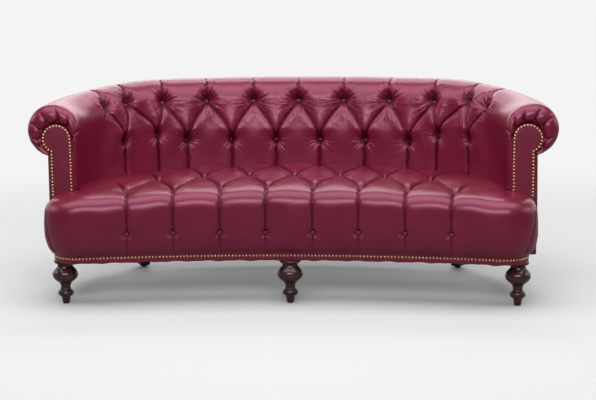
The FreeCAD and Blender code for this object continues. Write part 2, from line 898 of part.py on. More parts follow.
seat_tools = []
seat_buttons = []
front_buttons = []
for x in column_xs:
    seat_tools.append(dimple(front_spot(x), forward, seat_dimple_depth))
    seat_tools.append(dimple(edge_spot(x), up, seat_dimple_depth))
    seat_tools.append(front_furrow(x))
    front_buttons.append(button_in(front_spot(x), forward, seat_dimple_depth))
    seat_buttons.append(button_in(edge_spot(x), up, seat_dimple_depth))
for x in between_xs:
    here = inner_spot(x)
    seat_tools.append(dimple(here, up, seat_dimple_depth))
    seat_buttons.append(button_in(here, up, seat_dimple_depth))
    for side in (-seat_button_pitch / 2, seat_button_pitch / 2):
        seat_tools.append(furrow(edge_spot(x + side), here, up))
        end_x = x + side
        end_y = back_rail_y(end_x, -inside_back_depth) - dimple_radius
        seat_tools.append(furrow(here, seat_surface(end_x, end_y), up))
parts["seat_cover"] = largest(seat_cover.cut(seat_tools))
parts["seat_buttons"] = Part.makeCompound(seat_buttons)
parts["seat_front_buttons"] = Part.makeCompound(front_buttons)


# Inside back and arms: a leather and wadding skin that goes up the inside and round the roll

def hook(height, depth):
    lining_radius = roll_radius - roll_skin
    outer_end = -math.degrees(math.acos((-panel_thickness - roll_n) / roll_radius))
    lining_end = -math.degrees(math.acos((-panel_thickness - roll_n) / lining_radius))

    def outer(degrees):
        return roll_point(height, roll_radius, degrees)

    def lining(degrees):
        return roll_point(height, lining_radius, degrees)

    start = (-depth, skin_foot_height)
    return start, [
        ((-depth, lean_start),), (outer(180),),
        (outer(135), outer(90)), (outer(45), outer(0)), (outer(outer_end / 2), outer(outer_end)),
        (lining(lining_end),), (lining(lining_end / 2), lining(0)),
        (lining(45), lining(90)), (lining(135), lining(180)),
        ((inside_skin - depth, lean_start),), ((inside_skin - depth, skin_foot_height),), (start,),
    ]


def stuffing(height, depth):
    radius = roll_radius - roll_skin - gap
    front = inside_skin - depth + gap
    behind = -frame_depth - webbing_thickness - hessian_thickness - 3 * gap
    rail = height - top_rail_drop + gap
    low = math.degrees(math.asin((rail - height) / radius))

    def on(degrees):
        return roll_point(height, radius, degrees)

    start = (front, skin_foot_height)
    return start, [
        ((front, lean_start),), (on(180),), (on(135), on(90)), (on(45), on(0)), (on(low / 2), on(low)),
        ((behind, rail),), ((behind, skin_foot_height),), (start,),
    ]


def panel(height):
    under = math.sqrt(roll_radius ** 2 - (panel_thickness + roll_n) ** 2)
    return box_profile(-panel_thickness, 0, leather_bottom, height - under - gap)


def layer(height, behind, thickness):
    return box_profile(-behind - thickness, -behind, skin_foot_height, height - top_rail_drop)


webbing_back = frame_depth + gap
hessian_back = webbing_back + webbing_thickness + gap


def arm_layer(behind, thickness):
    return arm_sweep(lambda t: layer(roll_height(t), behind, thickness)).common(behind_post)


parts["outside_back"] = back_sweep(panel(roll_z_back))
pair("outside_arm", arm_sweep(lambda t: panel(roll_height(t))))
parts["back_stuffing"] = back_sweep(stuffing(roll_z_back, inside_back_depth))
pair("arm_stuffing", arm_sweep(lambda t: stuffing(roll_height(t), inside_depth(t))).common(behind_post))
parts["back_hessian"] = back_sweep(layer(roll_z_back, hessian_back, hessian_thickness))
pair("arm_hessian", arm_layer(hessian_back, hessian_thickness))

back_webs = []
web_half = webbing_width / 2 / back_radius
for k in range(back_web_count):
    middle = back_turn * (2 * (k + 0.5) / back_web_count - 1)
    strip = layer(roll_z_back, webbing_back, webbing_thickness)
    back_webs.append(back_sweep(strip, middle - web_half, middle + web_half))

arm_web = arm_layer(webbing_back, webbing_thickness)
arm_webs = []
for k in range(arm_web_count):
    middle = back_turn + arm_turn * arm_web_reach * (k + 0.5) / arm_web_count
    cutter = upright(
        arm_centre, arm_radius, middle, webbing_width, -inside_back_depth, 0, 0, overall_height
    )
    arm_webs.append(arm_web.common(cutter))
parts["inside_webbing"] = Part.makeCompound(back_webs + both_sides(arm_webs))


# Gathered arm front: the arm's outline closes in over the post to a flat face for the facing

def nose_wire(turn):
    """Outline of the arm front, turned in from the arm's own section by an angle."""
    share = 1 - math.cos(turn)
    y = arm_front_y - arm_swell * math.sin(turn)
    radius = roll_radius - (roll_radius - arm_nose_radius) * share
    inset = arm_nose_inset * share
    height = roll_z_arm - arm_nose_drop * share
    inner_n = inset - inside_arm_depth + (inside_arm_depth - facing_stem_depth) * share
    outer_n = inset - panel_thickness
    end = -math.degrees(math.acos((outer_n - roll_n) / radius))

    def place(n, z):
        return Vector(half_span - inset + n, y, z)

    def outer(degrees):
        return roll_point(height, radius, degrees)

    start = (inner_n, arm_front_foot)
    return outline(place, start, [
        ((inner_n, lean_start),), (outer(180),), (outer(135), outer(90)), (outer(45), outer(0)),
        (outer(end / 2), outer(end)), ((outer_n, arm_front_foot),), (start,),
    ])


nose_turns = [math.pi / 2 * k / nose_stations for k in range(nose_stations + 1)]
arm_nose = Part.makeLoft([nose_wire(turn) for turn in nose_turns], True, True)

gather_tools = []
for k in range(gather_count):
    angle = math.radians(gather_start + gather_sweep * k / (gather_count - 1))
    out = Vector(math.cos(angle), 0, math.sin(angle))
    across = out.cross(Vector(0, 1, 0)).normalize() * (gather_width / 2)
    draw_in = roll_radius - arm_nose_radius + arm_nose_inset * out.x + arm_nose_drop * out.z
    points = []
    for turn in nose_turns:
        radius = roll_radius - draw_in * (1 - math.cos(turn)) - gather_depth * math.cos(turn)
        y = arm_front_y - (arm_swell - gather_depth) * math.sin(turn)
        points.append(Vector(half_span + roll_n, y, roll_z_arm) + out * radius)
    far = Vector(half_span + roll_n, 0, roll_z_arm) + out * (roll_radius + pleat_rise)
    points.append(Vector(points[-1].x, nose_y - gather_depth, points[-1].z))
    points.append(Vector(far.x, nose_y - gather_depth, far.z))
    points.append(Vector(far.x, arm_front_y, far.z))
    side = [point - across for point in points]
    gather_tools.append(Part.Face(Part.makePolygon(side + side[:1])).extrude(across * 2))

facing_head = Part.makeCylinder(
    facing_head_radius, facing_thickness,
    Vector(half_span - facing_head_inset, facing_back_y, roll_z_arm - facing_head_drop), forward
)
facing_stem = box_between(
    half_span - facing_stem_depth, half_span - facing_stem_inset, facing_front_y, facing_back_y,
    arm_front_foot, roll_z_arm - facing_head_drop
)
pair("arm_facing", facing_stem.fuse(facing_head).removeSplitter())


# Buttons and pleats of the back and arms, spaced along the outside line

def inside_spot(s, drop):
    """Where a button sits on the inside face, and the way it looks."""
    along = abs(s)
    if along <= back_half_length:
        centre, radius, angle, t = back_centre, back_radius, along / back_radius, 0.0
        true = 1.0
    else:
        t = (along - back_half_length) / arm_length
        centre, radius, angle = arm_centre, arm_radius, back_turn + t * arm_turn
        true = facet(angle)
    height = roll_height(t)
    depth = inside_depth(t)
    run = roll_n - roll_radius + depth
    rise = height - lean_start
    z = height - drop
    n = roll_n - roll_radius - run * drop / rise
    reach = (radius + n) * true
    at = Vector(centre.x + reach * math.sin(angle), centre.y + reach * math.cos(angle), z)
    outward = Vector(math.sin(angle), math.cos(angle), 0)
    way = (outward * -rise + up * run).normalize()
    if s < 0:
        at = Vector(-at.x, at.y, at.z)
        way = Vector(-way.x, way.y, way.z)
    return at, way


def roll_furrow(s):
    """The short pleat that runs from an upper button up over the roll."""
    at, way = inside_spot(s, 0)
    flat = Vector(way.x, way.y, 0).normalize()
    centre = at - flat * roll_radius
    inner = roll_radius - pleat_depth
    outer = roll_radius + pleat_rise
    across = flat.cross(up).normalize() * (pleat_width / 2)

    def on(radius, degrees):
        angle = math.radians(degrees)
        return centre + flat * (radius * math.cos(angle)) + up * (radius * math.sin(angle)) - across

    edges = [
        Part.Arc(on(inner, 0), on(inner, roll_pleat_sweep / 2), on(inner, roll_pleat_sweep)).toShape(),
        Part.LineSegment(on(inner, roll_pleat_sweep), on(outer, roll_pleat_sweep)).toShape(),
        Part.Arc(on(outer, roll_pleat_sweep), on(outer, roll_pleat_sweep / 2), on(outer, 0)).toShape(),
        Part.LineSegment(on(outer, 0), on(inner, 0)).toShape(),
    ]
    return Part.Face(Part.Wire(edges)).extrude(across * 2)


upper_middle = (upper_button_count - 1) / 2
upper_runs = [(k - upper_middle) * back_button_pitch for k in range(upper_button_count)]
lower_runs = [(a + b) / 2 for a, b in zip(upper_runs, upper_runs[1:])]
back_tools = []
button_sets = {"back": [], "arm_left": [], "arm_right": []}


def place_button(s, at, way):
    where = "back"
    if abs(s) > back_half_length:
        where = "arm_right" if s > 0 else "arm_left"
    button_sets[where].append(button_in(at, way, back_dimple_depth))
    back_tools.append(dimple(at, way, back_dimple_depth))


for s in upper_runs:
    at, way = inside_spot(s, -upper_button_rise)
    place_button(s, at, way)
    back_tools.append(roll_furrow(s))
for s in lower_runs:
    at, way = inside_spot(s, lower_button_drop)
    place_button(s, at, way)
    for side in (-back_button_pitch / 2, back_button_pitch / 2):
        above, above_way = inside_spot(s + side, -upper_button_rise)
        back_tools.append(furrow(at, above, (way + above_way).normalize()))
    lean = inside_spot(s, roll_height(0) - lean_start)[0]
    back_tools.append(furrow(at, Vector(lean.x, lean.y, lean_start), way))
parts["back_cover"] = largest(back_sweep(hook(roll_z_back, inside_back_depth)).cut(back_tools))
arm_skin = arm_sweep(lambda t: hook(roll_height(t), inside_depth(t)))
arm_cover = arm_skin.fuse(arm_nose).cut(back_tools + gather_tools)
pair("arm_cover", largest(arm_cover))
parts["back_buttons"] = Part.makeCompound(button_sets["back"])
parts["arm_buttons_left"] = Part.makeCompound(button_sets["arm_left"])
parts["arm_buttons_right"] = Part.makeCompound(button_sets["arm_right"])


# Nails: along the seat front, round the facings, and along the sides and back of the base

def base_spot(s):
    """Point and outward way on the nail line, s along it from the middle of the front."""
    left = abs(s)
    for first, last in zip(base_line, base_line[1:]):
        run = (last - first).Length
        if left <= run:
            break
        left -= run
    along = (last - first).normalize()
    at = first + along * left
    way = Vector(along.y, -along.x, 0)
    if s < 0:
        at = Vector(-at.x, at.y, at.z)
        way = Vector(-way.x, way.y, way.z)
    return at, way


def nail(at, way):
    return seated(nail_master, at + way * gap, way)


def spread(length):
    count = int(length / nail_pitch)
    return [nail_pitch * (k - count / 2) for k in range(count + 1)]


front_run = sum((b - a).Length for a, b in zip(base_line, base_line[1:])) - nail_pitch
parts["front_nails"] = Part.makeCompound([nail(*base_spot(s)) for s in spread(2 * front_run)])


def outside_spot(s):
    along = abs(s)
    if along <= back_half_length:
        angle = along / back_radius
        at = plan(back_centre, back_radius, angle, 0, nail_height)
    else:
        angle = back_turn + (along - back_half_length) / arm_radius
        at = plan(arm_centre, arm_radius * facet(angle), angle, 0, nail_height)
    way = Vector(math.sin(angle), math.cos(angle), 0)
    if s < 0:
        at = Vector(-at.x, at.y, at.z)
        way = Vector(-way.x, way.y, way.z)
    return at, way


outside_run = back_half_length + arm_length - nail_pitch
parts["base_nails"] = Part.makeCompound([nail(*outside_spot(s)) for s in spread(2 * outside_run)])

head_x = half_span - facing_head_inset
head_z = roll_z_arm - facing_head_drop
head_run = facing_head_radius - facing_nail_inset
outer_x = half_span - facing_stem_inset - facing_nail_inset
inner_x = half_span - facing_stem_depth + facing_nail_inset
stem_end = -math.acos((outer_x - head_x) / head_run)
stem_low = seat_top(half_span - facing_stem_depth) - nail_pitch
facing_nails = []
head_count = round(head_run * (math.pi - stem_end) / nail_pitch)
for k in range(head_count + 1):
    angle = math.pi + (stem_end - math.pi) * k / head_count
    facing_nails.append((head_x + head_run * math.cos(angle), head_z + head_run * math.sin(angle)))
z = head_z - nail_pitch
while z > stem_low:
    facing_nails.append((inner_x, z))
    z -= nail_pitch
z = head_z + head_run * math.sin(stem_end) - nail_pitch
while z > stem_low:
    facing_nails.append((outer_x, z))
    z -= nail_pitch
pair("facing_nails", Part.makeCompound([
    nail(Vector(x, facing_front_y, z), forward) for x, z in facing_nails
]))


# Dust cover under the frame, with room for the legs

cover_top = rail_bottom - gap
cover_bottom = cover_top - dust_cover_thickness
cover_side = base_half - dust_cover_inset
dust_front = base_prism(dust_cover_inset, [
    Vector(cover_side, arm_front_y, 0), Vector(-cover_side, arm_front_y, 0),
], cover_bottom, cover_top)
edge_points = []
for k in range(dust_cover_sides + 1):
    s = (back_half_length + arm_length) * (1 - 2 * k / dust_cover_sides)
    at, way = outside_spot(s)
    spot = at - way * dust_cover_inset
    edge_points.append((spot.x, spot.y))
dust_back = prism(edge_points, cover_bottom, cover_top)
leg_room = []
for name, spot in leg_spots.items():
    room = leg_collar_radius if "front" in name else rear_leg_top * math.sqrt(0.5)
    leg_room.append(Part.makeCylinder(room + 2 * gap, leg_height, Vector(spot.x, spot.y, 0)))
parts["dust_cover"] = dust_front.fuse(dust_back).removeSplitter().cut(leg_room)

os.makedirs("parts", exist_ok=True)
for name, shape in parts.items():
    shape.exportStep("parts/" + name + ".step")
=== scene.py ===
import math

import bmesh
import bpy
import numpy as np
from mathutils import Matrix, Vector


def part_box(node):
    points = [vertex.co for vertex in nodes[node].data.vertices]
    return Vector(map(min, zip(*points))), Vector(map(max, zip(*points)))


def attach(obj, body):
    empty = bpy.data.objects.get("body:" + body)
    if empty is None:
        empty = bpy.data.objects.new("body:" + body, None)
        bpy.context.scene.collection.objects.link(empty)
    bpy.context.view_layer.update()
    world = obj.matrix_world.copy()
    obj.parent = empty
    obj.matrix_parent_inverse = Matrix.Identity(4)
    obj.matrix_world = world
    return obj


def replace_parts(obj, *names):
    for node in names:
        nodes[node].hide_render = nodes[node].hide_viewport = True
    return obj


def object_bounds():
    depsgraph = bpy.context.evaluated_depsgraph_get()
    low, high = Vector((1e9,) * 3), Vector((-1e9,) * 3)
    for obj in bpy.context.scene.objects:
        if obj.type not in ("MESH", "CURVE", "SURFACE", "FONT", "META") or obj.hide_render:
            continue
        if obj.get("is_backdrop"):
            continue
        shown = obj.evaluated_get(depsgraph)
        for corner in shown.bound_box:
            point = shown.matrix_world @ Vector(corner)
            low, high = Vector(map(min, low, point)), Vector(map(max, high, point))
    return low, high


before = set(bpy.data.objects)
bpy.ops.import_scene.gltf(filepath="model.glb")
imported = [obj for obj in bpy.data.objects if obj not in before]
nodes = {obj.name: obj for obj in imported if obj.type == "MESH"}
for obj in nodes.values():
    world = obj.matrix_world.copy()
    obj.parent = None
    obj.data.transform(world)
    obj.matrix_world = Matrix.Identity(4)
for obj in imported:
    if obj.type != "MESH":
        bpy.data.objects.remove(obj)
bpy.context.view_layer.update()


# Timber frame: planed beech rails, posts, stays and blocks, glued and dowelled together.
# The covers hide it, so the CAD pieces stay and take a pale beech finish.
def new_material(name):
    material = bpy.data.materials.new(name)
    material.use_nodes = True
    return material, material.node_tree.nodes, material.node_tree.links


def set_values(node, values):
    for socket, value in values.items():
        node.inputs[socket].default_value = value


def add_node(tree, kind, values=None, **settings):
    """A shader node with its settings and the values of its sockets."""
    node = tree.new("ShaderNode" + kind)
    for key, value in settings.items():
        setattr(node, key, value)
    set_values(node, values or {})
    return node


def join(links, *runs):
    """Links between nodes, each given as a node, its output, the next node and its input."""
    for source, output, target, entry in runs:
        links.new(source.outputs[output], target.inputs[entry])


def new_group(name, inputs, outputs):
    """A shader node group with number sockets: the group, its nodes, its links, its start and its end."""
    group = bpy.data.node_groups.new(name, "ShaderNodeTree")
    for way, sockets in (("INPUT", inputs), ("OUTPUT", outputs)):
        for socket in sockets:
            group.interface.new_socket(socket, in_out=way, socket_type="NodeSocketFloat")
    inner = group.nodes
    return group, inner, group.links, inner.new("NodeGroupInput"), inner.new("NodeGroupOutput")


def ramp(tree, stops):
    node = add_node(tree, "ValToRGB")
    for element, (place, colour) in zip(node.color_ramp.elements, stops):
        element.position = place
        element.color = (*colour, 1.0)
    return node


def finish_nodes(material, *names):
    for name in names:
        mesh = nodes[name].data
        mesh.materials.clear()
        mesh.materials.append(material)


def make_wood_figure():
    group, inner, links, start, end = new_group("wood_figure", ["Ring Scale"], ["Figure", "Pores"])
    place = add_node(inner, "TexCoord")
    stretch = add_node(inner, "Mapping", {"Scale": (1.0, 1.0, 0.12)})
    rings = add_node(inner, "TexNoise", {"Detail": 6.0, "Distortion": 1.2})
    pores = add_node(inner, "TexNoise", {"Scale": 900.0, "Detail": 3.0})
    join(
        links,
        (place, "Object", stretch, "Vector"),
        (stretch, "Vector", rings, "Vector"),
        (stretch, "Vector", pores, "Vector"),
        (start, "Ring Scale", rings, "Scale"),
        (rings, "Fac", end, "Figure"),
        (pores, "Fac", end, "Pores"),
    )
    return group


wood_figure = make_wood_figure()


def make_wood(name, dark, light, ring_scale, rough, coat, pore_height):
    material, tree, links = new_material(name)
    surface = tree["Principled BSDF"]
    set_values(surface, {"Coat Weight": coat, "Coat Roughness": 0.12})
    figure = add_node(tree, "Group", {"Ring Scale": ring_scale}, node_tree=wood_figure)
    tint = ramp(tree, [(0.3, dark), (0.7, light)])
    polish = add_node(tree, "MapRange", {"To Min": rough[0], "To Max": rough[1]})
    bump = add_node(tree, "Bump", {"Strength": 0.25, "Distance": pore_height})
    join(
        links,
        (figure, "Figure", tint, "Fac"),
        (tint, "Color", surface, "Base Color"),
        (figure, "Pores", polish, "Value"),
        (polish, "Result", surface, "Roughness"),
        (figure, "Pores", bump, "Height"),
        (bump, "Normal", surface, "Normal"),
    )
    return material


beech = make_wood(
    "planed_beech", dark=(0.36, 0.21, 0.11), light=(0.58, 0.39, 0.22), ring_scale=14.0, rough=(0.5, 0.7),
    coat=0.0, pore_height=0.0004
)
finish_nodes(
    beech, "front_rail", "back_rail", "seat_stretchers", "leg_blocks", "frame_stays", "frame_dowels",
    "top_rail_back", "tacking_rail_back"
)
for pair in (
    "side_rail", "return_rail", "front_corner_block", "arm_post", "back_post", "top_rail_arm",
    "tacking_rail_arm",
):
    finish_nodes(beech, pair + "_left", pair + "_right")


# Springs, clips and leg bolts: zigzag springs of drawn steel wire, hooked into plated clips on the rails,
# and the steel hanger bolts that hold the legs. They lie inside the seat and stay as the CAD pieces.
def make_metal(name, fleck_scale, fleck_detail, dark, light, tint_from, rough):
    """Bare metal whose tint and polish vary in small flecks."""
    material, tree, links = new_material(name)
    surface = tree["Principled BSDF"]
    set_values(surface, {"Metallic": 1.0})
    place = add_node(tree, "TexCoord")
    fleck = add_node(tree, "TexNoise", {"Scale": fleck_scale, "Detail": fleck_detail})
    tint = ramp(tree, [(tint_from, dark), (0.7, light)])
    polish = add_node(tree, "MapRange", {"To Min": rough[0], "To Max": rough[1]})
    join(
        links,
        (place, "Object", fleck, "Vector"),
        (fleck, "Fac", tint, "Fac"),
        (tint, "Color", surface, "Base Color"),
        (fleck, "Fac", polish, "Value"),
        (polish, "Result", surface, "Roughness"),
    )
    return material


steel = make_metal(
    "spring_steel", fleck_scale=60.0, fleck_detail=4.0, dark=(0.22, 0.22, 0.23), light=(0.5, 0.5, 0.52),
    tint_from=0.35, rough=(0.28, 0.5)
)
finish_nodes(steel, "seat_springs", "spring_clips", "leg_bolts")


# Hessian and webbing: plain-woven jute, strained over the springs and between the rails and tacked down.
# The stuffing lies on it. Both stay as the CAD pieces.
def make_weave():
    group, inner, links, start, end = new_group("plain_weave", ["Threads per Metre"], ["Thread"])
    place = add_node(inner, "TexCoord")
    over = add_node(inner, "Math", operation="MAXIMUM")
    for entry, way in enumerate(("X", "Y")):
        wave = add_node(inner, "TexWave", {"Distortion": 0.4}, bands_direction=way)
        join(
            links,
            (place, "Object", wave, "Vector"),
            (start, "Threads per Metre", wave, "Scale"),
            (wave, "Fac", over, entry),
        )
    join(links, (over, "Value", end, "Thread"))
    return group


plain_weave = make_weave()


def make_cloth(name, dark, light, threads, thread_height):
    material, tree, links = new_material(name)
    surface = tree["Principled BSDF"]
    set_values(surface, {"Roughness": 0.9})
    weave = add_node(tree, "Group", {"Threads per Metre": threads}, node_tree=plain_weave)
    tint = ramp(tree, [(0.2, dark), (0.9, light)])
    bump = add_node(tree, "Bump", {"Strength": 0.5, "Distance": thread_height})
    join(
        links,
        (weave, "Thread", tint, "Fac"),
        (tint, "Color", surface, "Base Color"),
        (weave, "Thread", bump, "Height"),
        (bump, "Normal", surface, "Normal"),
    )
    return material


hessian = make_cloth(
    "jute_hessian", dark=(0.16, 0.10, 0.05), light=(0.38, 0.27, 0.15), threads=80.0, thread_height=0.0006
)
webbing = make_cloth(
    "jute_webbing", dark=(0.07, 0.05, 0.04), light=(0.2, 0.15, 0.11), threads=130.0, thread_height=0.0005
)
finish_nodes(hessian, "seat_hessian", "back_hessian", "arm_hessian_left", "arm_hessian_right")
finish_nodes(webbing, "inside_webbing")


# Front legs: turned mahogany, french polished, with a collar, a bulb, a bead and a tapered foot.
# Each is screwed up into the frame by a hanger bolt.
def grid_faces(rows, columns, wrap_rows=False, wrap_columns=False):
    faces = []
    for i in range(rows if wrap_rows else rows - 1):
        low = i * columns
        high = ((i + 1) % rows) * columns
        for j in range(columns if wrap_columns else columns - 1):
            k = (j + 1) % columns
            faces.append((low + j, low + k, high + k, high + j))
    return faces


def mesh_piece(name, vertices, faces, material, slot):
    """A smooth-shaded piece of the sofa, riding on its one body."""
    mesh = bpy.data.meshes.new(name)
    mesh.from_pydata([tuple(v) for v in vertices], [], faces)
    mesh.validate()
    mesh.update()
    mesh.polygons.foreach_set("use_smooth", [True] * len(mesh.polygons))
    mesh.materials.append(material)
    piece = bpy.data.objects.new(name, mesh)
    bpy.context.scene.collection.objects.link(piece)
    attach(piece, "root")
    return piece


def smooth_line(points, steps):
    """Points along a smooth curve through the given ones."""
    points = np.array(points, float)
    held = np.vstack([2 * points[0] - points[1], points, 2 * points[-1] - points[-2]])
    line = []
    for k in range(len(points) - 1):
        a, b, c, d = held[k:k + 4]
        square = 2 * a - 5 * b + 4 * c - d
        cube = 3 * b - a - 3 * c + d
        for step in range(steps):
            t = step / steps
            line.append(0.5 * (2 * b + (c - a) * t + square * t ** 2 + cube * t ** 3))
    line.append(points[-1])
    return np.array(line)


def turned(profile, centre, segments):
    """Vertices and faces of a turned piece from (radius, height) points, the first and last on its axis."""
    vertices = []
    for radius, height in profile[1:-1]:
        for k in range(segments):
            angle = 2 * math.pi * k / segments
            x, y = radius * math.cos(angle), radius * math.sin(angle)
            vertices.append((centre[0] + x, centre[1] + y, centre[2] + height))
    rows = len(profile) - 2
    faces = grid_faces(rows, segments, wrap_columns=True)
    foot = len(vertices)
    last_ring = (rows - 1) * segments
    vertices.append((centre[0], centre[1], centre[2] + profile[0][1]))
    vertices.append((centre[0], centre[1], centre[2] + profile[-1][1]))
    for k in range(segments):
        after = (k + 1) % segments
        faces.append((foot, after, k))
        faces.append((foot + 1, last_ring + k, last_ring + after))
    return vertices, faces


mahogany = make_wood(
    "polished_mahogany", dark=(0.020, 0.006, 0.006), light=(0.075, 0.018, 0.016), ring_scale=22.0,
    rough=(0.22, 0.32), coat=0.35, pore_height=0.0001
)
leg_height = 0.178
collar_chamfer = 0.001
leg_segments = 56
leg_foot = [(0.0, 0.0), (0.0105, 0.0), (0.0128, 0.0012), (0.0136, 0.004)]
leg_shaft = smooth_line([
    (0.0136, 0.004), (0.0172, 0.024), (0.0205, 0.030), (0.0292, 0.037), (0.0312, 0.045), (0.0288, 0.053),
    (0.0212, 0.060), (0.0195, 0.068), (0.0203, 0.075), (0.0272, 0.088), (0.0426, 0.101), (0.0498, 0.112),
    (0.0505, 0.121), (0.0482, 0.131), (0.0408, 0.142), (0.0332, 0.150), (0.0302, 0.157),
], steps=5)
leg_collar = [
    (0.0302, 0.160), (0.0310, 0.164), (0.0360, 0.167), (0.0415, 0.1685), (0.0430, 0.1705),
    (0.0430, leg_height - collar_chamfer), (0.0420, leg_height), (0.0, leg_height),
]
leg_profile = np.vstack([leg_foot, leg_shaft[1:], leg_collar])
for name in ("front_leg_left", "front_leg_middle", "front_leg_right"):
    low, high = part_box(name)
    leg_spot = ((low.x + high.x) / 2, (low.y + high.y) / 2, 0.0)
    turning = turned(leg_profile, leg_spot, leg_segments)
    leg = mesh_piece("turned_" + name, *turning, mahogany, "leg_mahogany")
    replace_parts(leg, name)


# Rear legs: plain square-tapered hardwood, raked back, stained dark and screwed up into the frame.
# Each stands on a nylon glide. They stay as the CAD pieces.
def make_nylon():
    material, tree, links = new_material("black_nylon")
    surface = tree["Principled BSDF"]
    set_values(surface, {"Roughness": 0.55})
    place = add_node(tree, "TexCoord")
    scuff = add_node(tree, "TexNoise", {"Scale": 300.0})
    tint = ramp(tree, [(0.4, (0.01, 0.01, 0.01)), (0.75, (0.03, 0.03, 0.03))])
    join(
        links,
        (place, "Object", scuff, "Vector"),
        (scuff, "Fac", tint, "Fac"),
        (tint, "Color", surface, "Base Color"),
    )
    return material


rear_wood = make_wood(
    "stained_rear_leg", dark=(0.008, 0.004, 0.004), light=(0.025, 0.009, 0.008), ring_scale=30.0,
    rough=(0.3, 0.45), coat=0.2, pore_height=0.0002
)
finish_nodes(rear_wood, "rear_leg_left", "rear_leg_right")
finish_nodes(make_nylon(), "rear_leg_glides")


# Seat: one burgundy hide over wadding and stuffing, buttoned through on top and along the front.
# It is pleated from button to button, drawn over the edge, down the front and nailed to the front rail.
def make_hide_grain():
    group, inner, links, start, end = new_group("hide_grain", ["Pebble Scale"], ["Height", "Tone", "Gloss"])
    place = add_node(inner, "TexCoord")
    pebble = add_node(inner, "TexVoronoi", {"Smoothness": 0.5}, feature="SMOOTH_F1")
    crease = add_node(inner, "TexNoise", {"Scale": 40.0, "Detail": 5.0, "Distortion": 0.8})
    tone = add_node(inner, "TexNoise", {"Scale": 7.0, "Detail": 4.0})
    mix = add_node(inner, "Math", {1: 0.3}, operation="MULTIPLY_ADD")
    for texture in (pebble, crease, tone):
        join(links, (place, "Object", texture, "Vector"))
    join(
        links,
        (start, "Pebble Scale", pebble, "Scale"),
        (pebble, "Distance", mix, 0),
        (crease, "Fac", mix, 2),
        (mix, "Value", end, "Height"),
        (tone, "Fac", end, "Tone"),
        (crease, "Fac", end, "Gloss"),
    )
    return group


def make_pulled_creases():
    """Fine creases that run out from each button.
    The mesh's pull attribute holds the way and distance from the button, and crush how strong they are."""
    group, inner, links, start, end = new_group(
        "pulled_creases", ["Creases Round", "Creases Along"], ["Height"]
    )
    pull = add_node(inner, "Attribute", attribute_name="pull")
    crush = add_node(inner, "Attribute", attribute_name="crush")
    parts = add_node(inner, "SeparateXYZ")
    flat = add_node(inner, "CombineXYZ")
    way = add_node(inner, "VectorMath", operation="NORMALIZE")
    reach = add_node(inner, "VectorMath", operation="LENGTH")
    depth = add_node(inner, "Math", operation="MULTIPLY_ADD")
    fan = add_node(inner, "VectorMath", operation="MULTIPLY_ADD")
    lift = add_node(inner, "CombineXYZ")
    streak = add_node(inner, "TexNoise", {"Scale": 1.0, "Detail": 2.0})
    weigh = add_node(inner, "Math", operation="MULTIPLY")
    join(
        links,
        (pull, "Vector", parts, "Vector"),
        (parts, "X", flat, "X"),
        (parts, "Y", flat, "Y"),
        (flat, "Vector", way, 0),
        (flat, "Vector", reach, 0),
        (reach, "Value", depth, 0),
        (start, "Creases Along", depth, 1),
        (parts, "Z", depth, 2),
        (depth, "Value", lift, "Z"),
        (way, "Vector", fan, 0),
        (start, "Creases Round", fan, 1),
        (lift, "Vector", fan, 2),
        (fan, "Vector", streak, "Vector"),
        (streak, "Fac", weigh, 0),
        (crush, "Fac", weigh, 1),
        (weigh, "Value", end, "Height"),
    )
    return group


hide_grain = make_hide_grain()
pulled_creases = make_pulled_creases()


def make_hide(name, mid, bright, rough):
    """Glazed burgundy hide with painted shade: its colour is mixed towards near black in the pleats and
    hollows, where the mesh's valley attribute is near 1.
    """
    material, tree, links = new_material(name)
    surface = tree["Principled BSDF"]
    set_values(surface, {
        "Specular IOR Level": 1.0, "Specular Tint": (1.0, 0.45, 0.66, 1.0), "Coat Weight": 0.05,
        "Coat Roughness": 0.24,
    })
    grain = add_node(tree, "Group", {"Pebble Scale": 750.0}, node_tree=hide_grain)
    creases = add_node(
        tree, "Group", {"Creases Round": 4.8, "Creases Along": 14.0}, node_tree=pulled_creases
    )
    tint = ramp(tree, [(0.3, mid), (0.7, bright)])
    # Painted shade: where the mesh's valley field is high, the hide's tone is mixed towards this near-black
    # colour.
    valley = add_node(tree, "Attribute", attribute_name="valley")
    shade = add_node(tree, "Mix", {"B": (0.018, 0.001, 0.003, 1.0)}, data_type="RGBA")
    glaze = add_node(tree, "MapRange", {
        "From Min": 0.15, "From Max": 0.85, "To Min": rough[0], "To Max": rough[1],
    })
    fold = add_node(tree, "Bump", {"Strength": 0.8, "Distance": 0.012})
    bump = add_node(tree, "Bump", {"Strength": 0.05, "Distance": 0.0005})
    join(
        links,
        (grain, "Tone", tint, "Fac"),
        (tint, "Color", shade, "A"),
        (valley, "Fac", shade, "Factor"),
        (shade, "Result", surface, "Base Color"),
        (grain, "Gloss", glaze, "Value"),
        (glaze, "Result", surface, "Roughness"),
        (creases, "Height", fold, "Height"),
        (grain, "Height", bump, "Height"),
        (fold, "Normal", bump, "Normal"),
        (bump, "Normal", surface, "Normal"),
    )
    return material


cover_hide = make_hide(
    "burgundy_hide", mid=(0.136, 0.0048, 0.0205), bright=(0.168, 0.0070, 0.0275), rough=(0.29, 0.37)
)

# Nail line of the seat in plan: a shallow arc along the front, a round corner and a straight side
base_half = 0.947
front_curve_radius = 4.25
front_corner_radius = 0.1
nail_front_y = -0.463
arm_front_y = -0.218
corner_x = base_half - front_corner_radius
corner_y = nail_front_y + front_corner_radius
front_reach = front_curve_radius + front_corner_radius
front_centre_y = corner_y - math.sqrt(front_reach ** 2 - corner_x ** 2)
front_turn = math.asin(corner_x / front_reach)
front_length = front_curve_radius * front_turn
corner_length = front_corner_radius * (math.pi / 2 + front_turn)
side_length = arm_front_y - corner_y
rim_length = front_length + corner_length + side_length


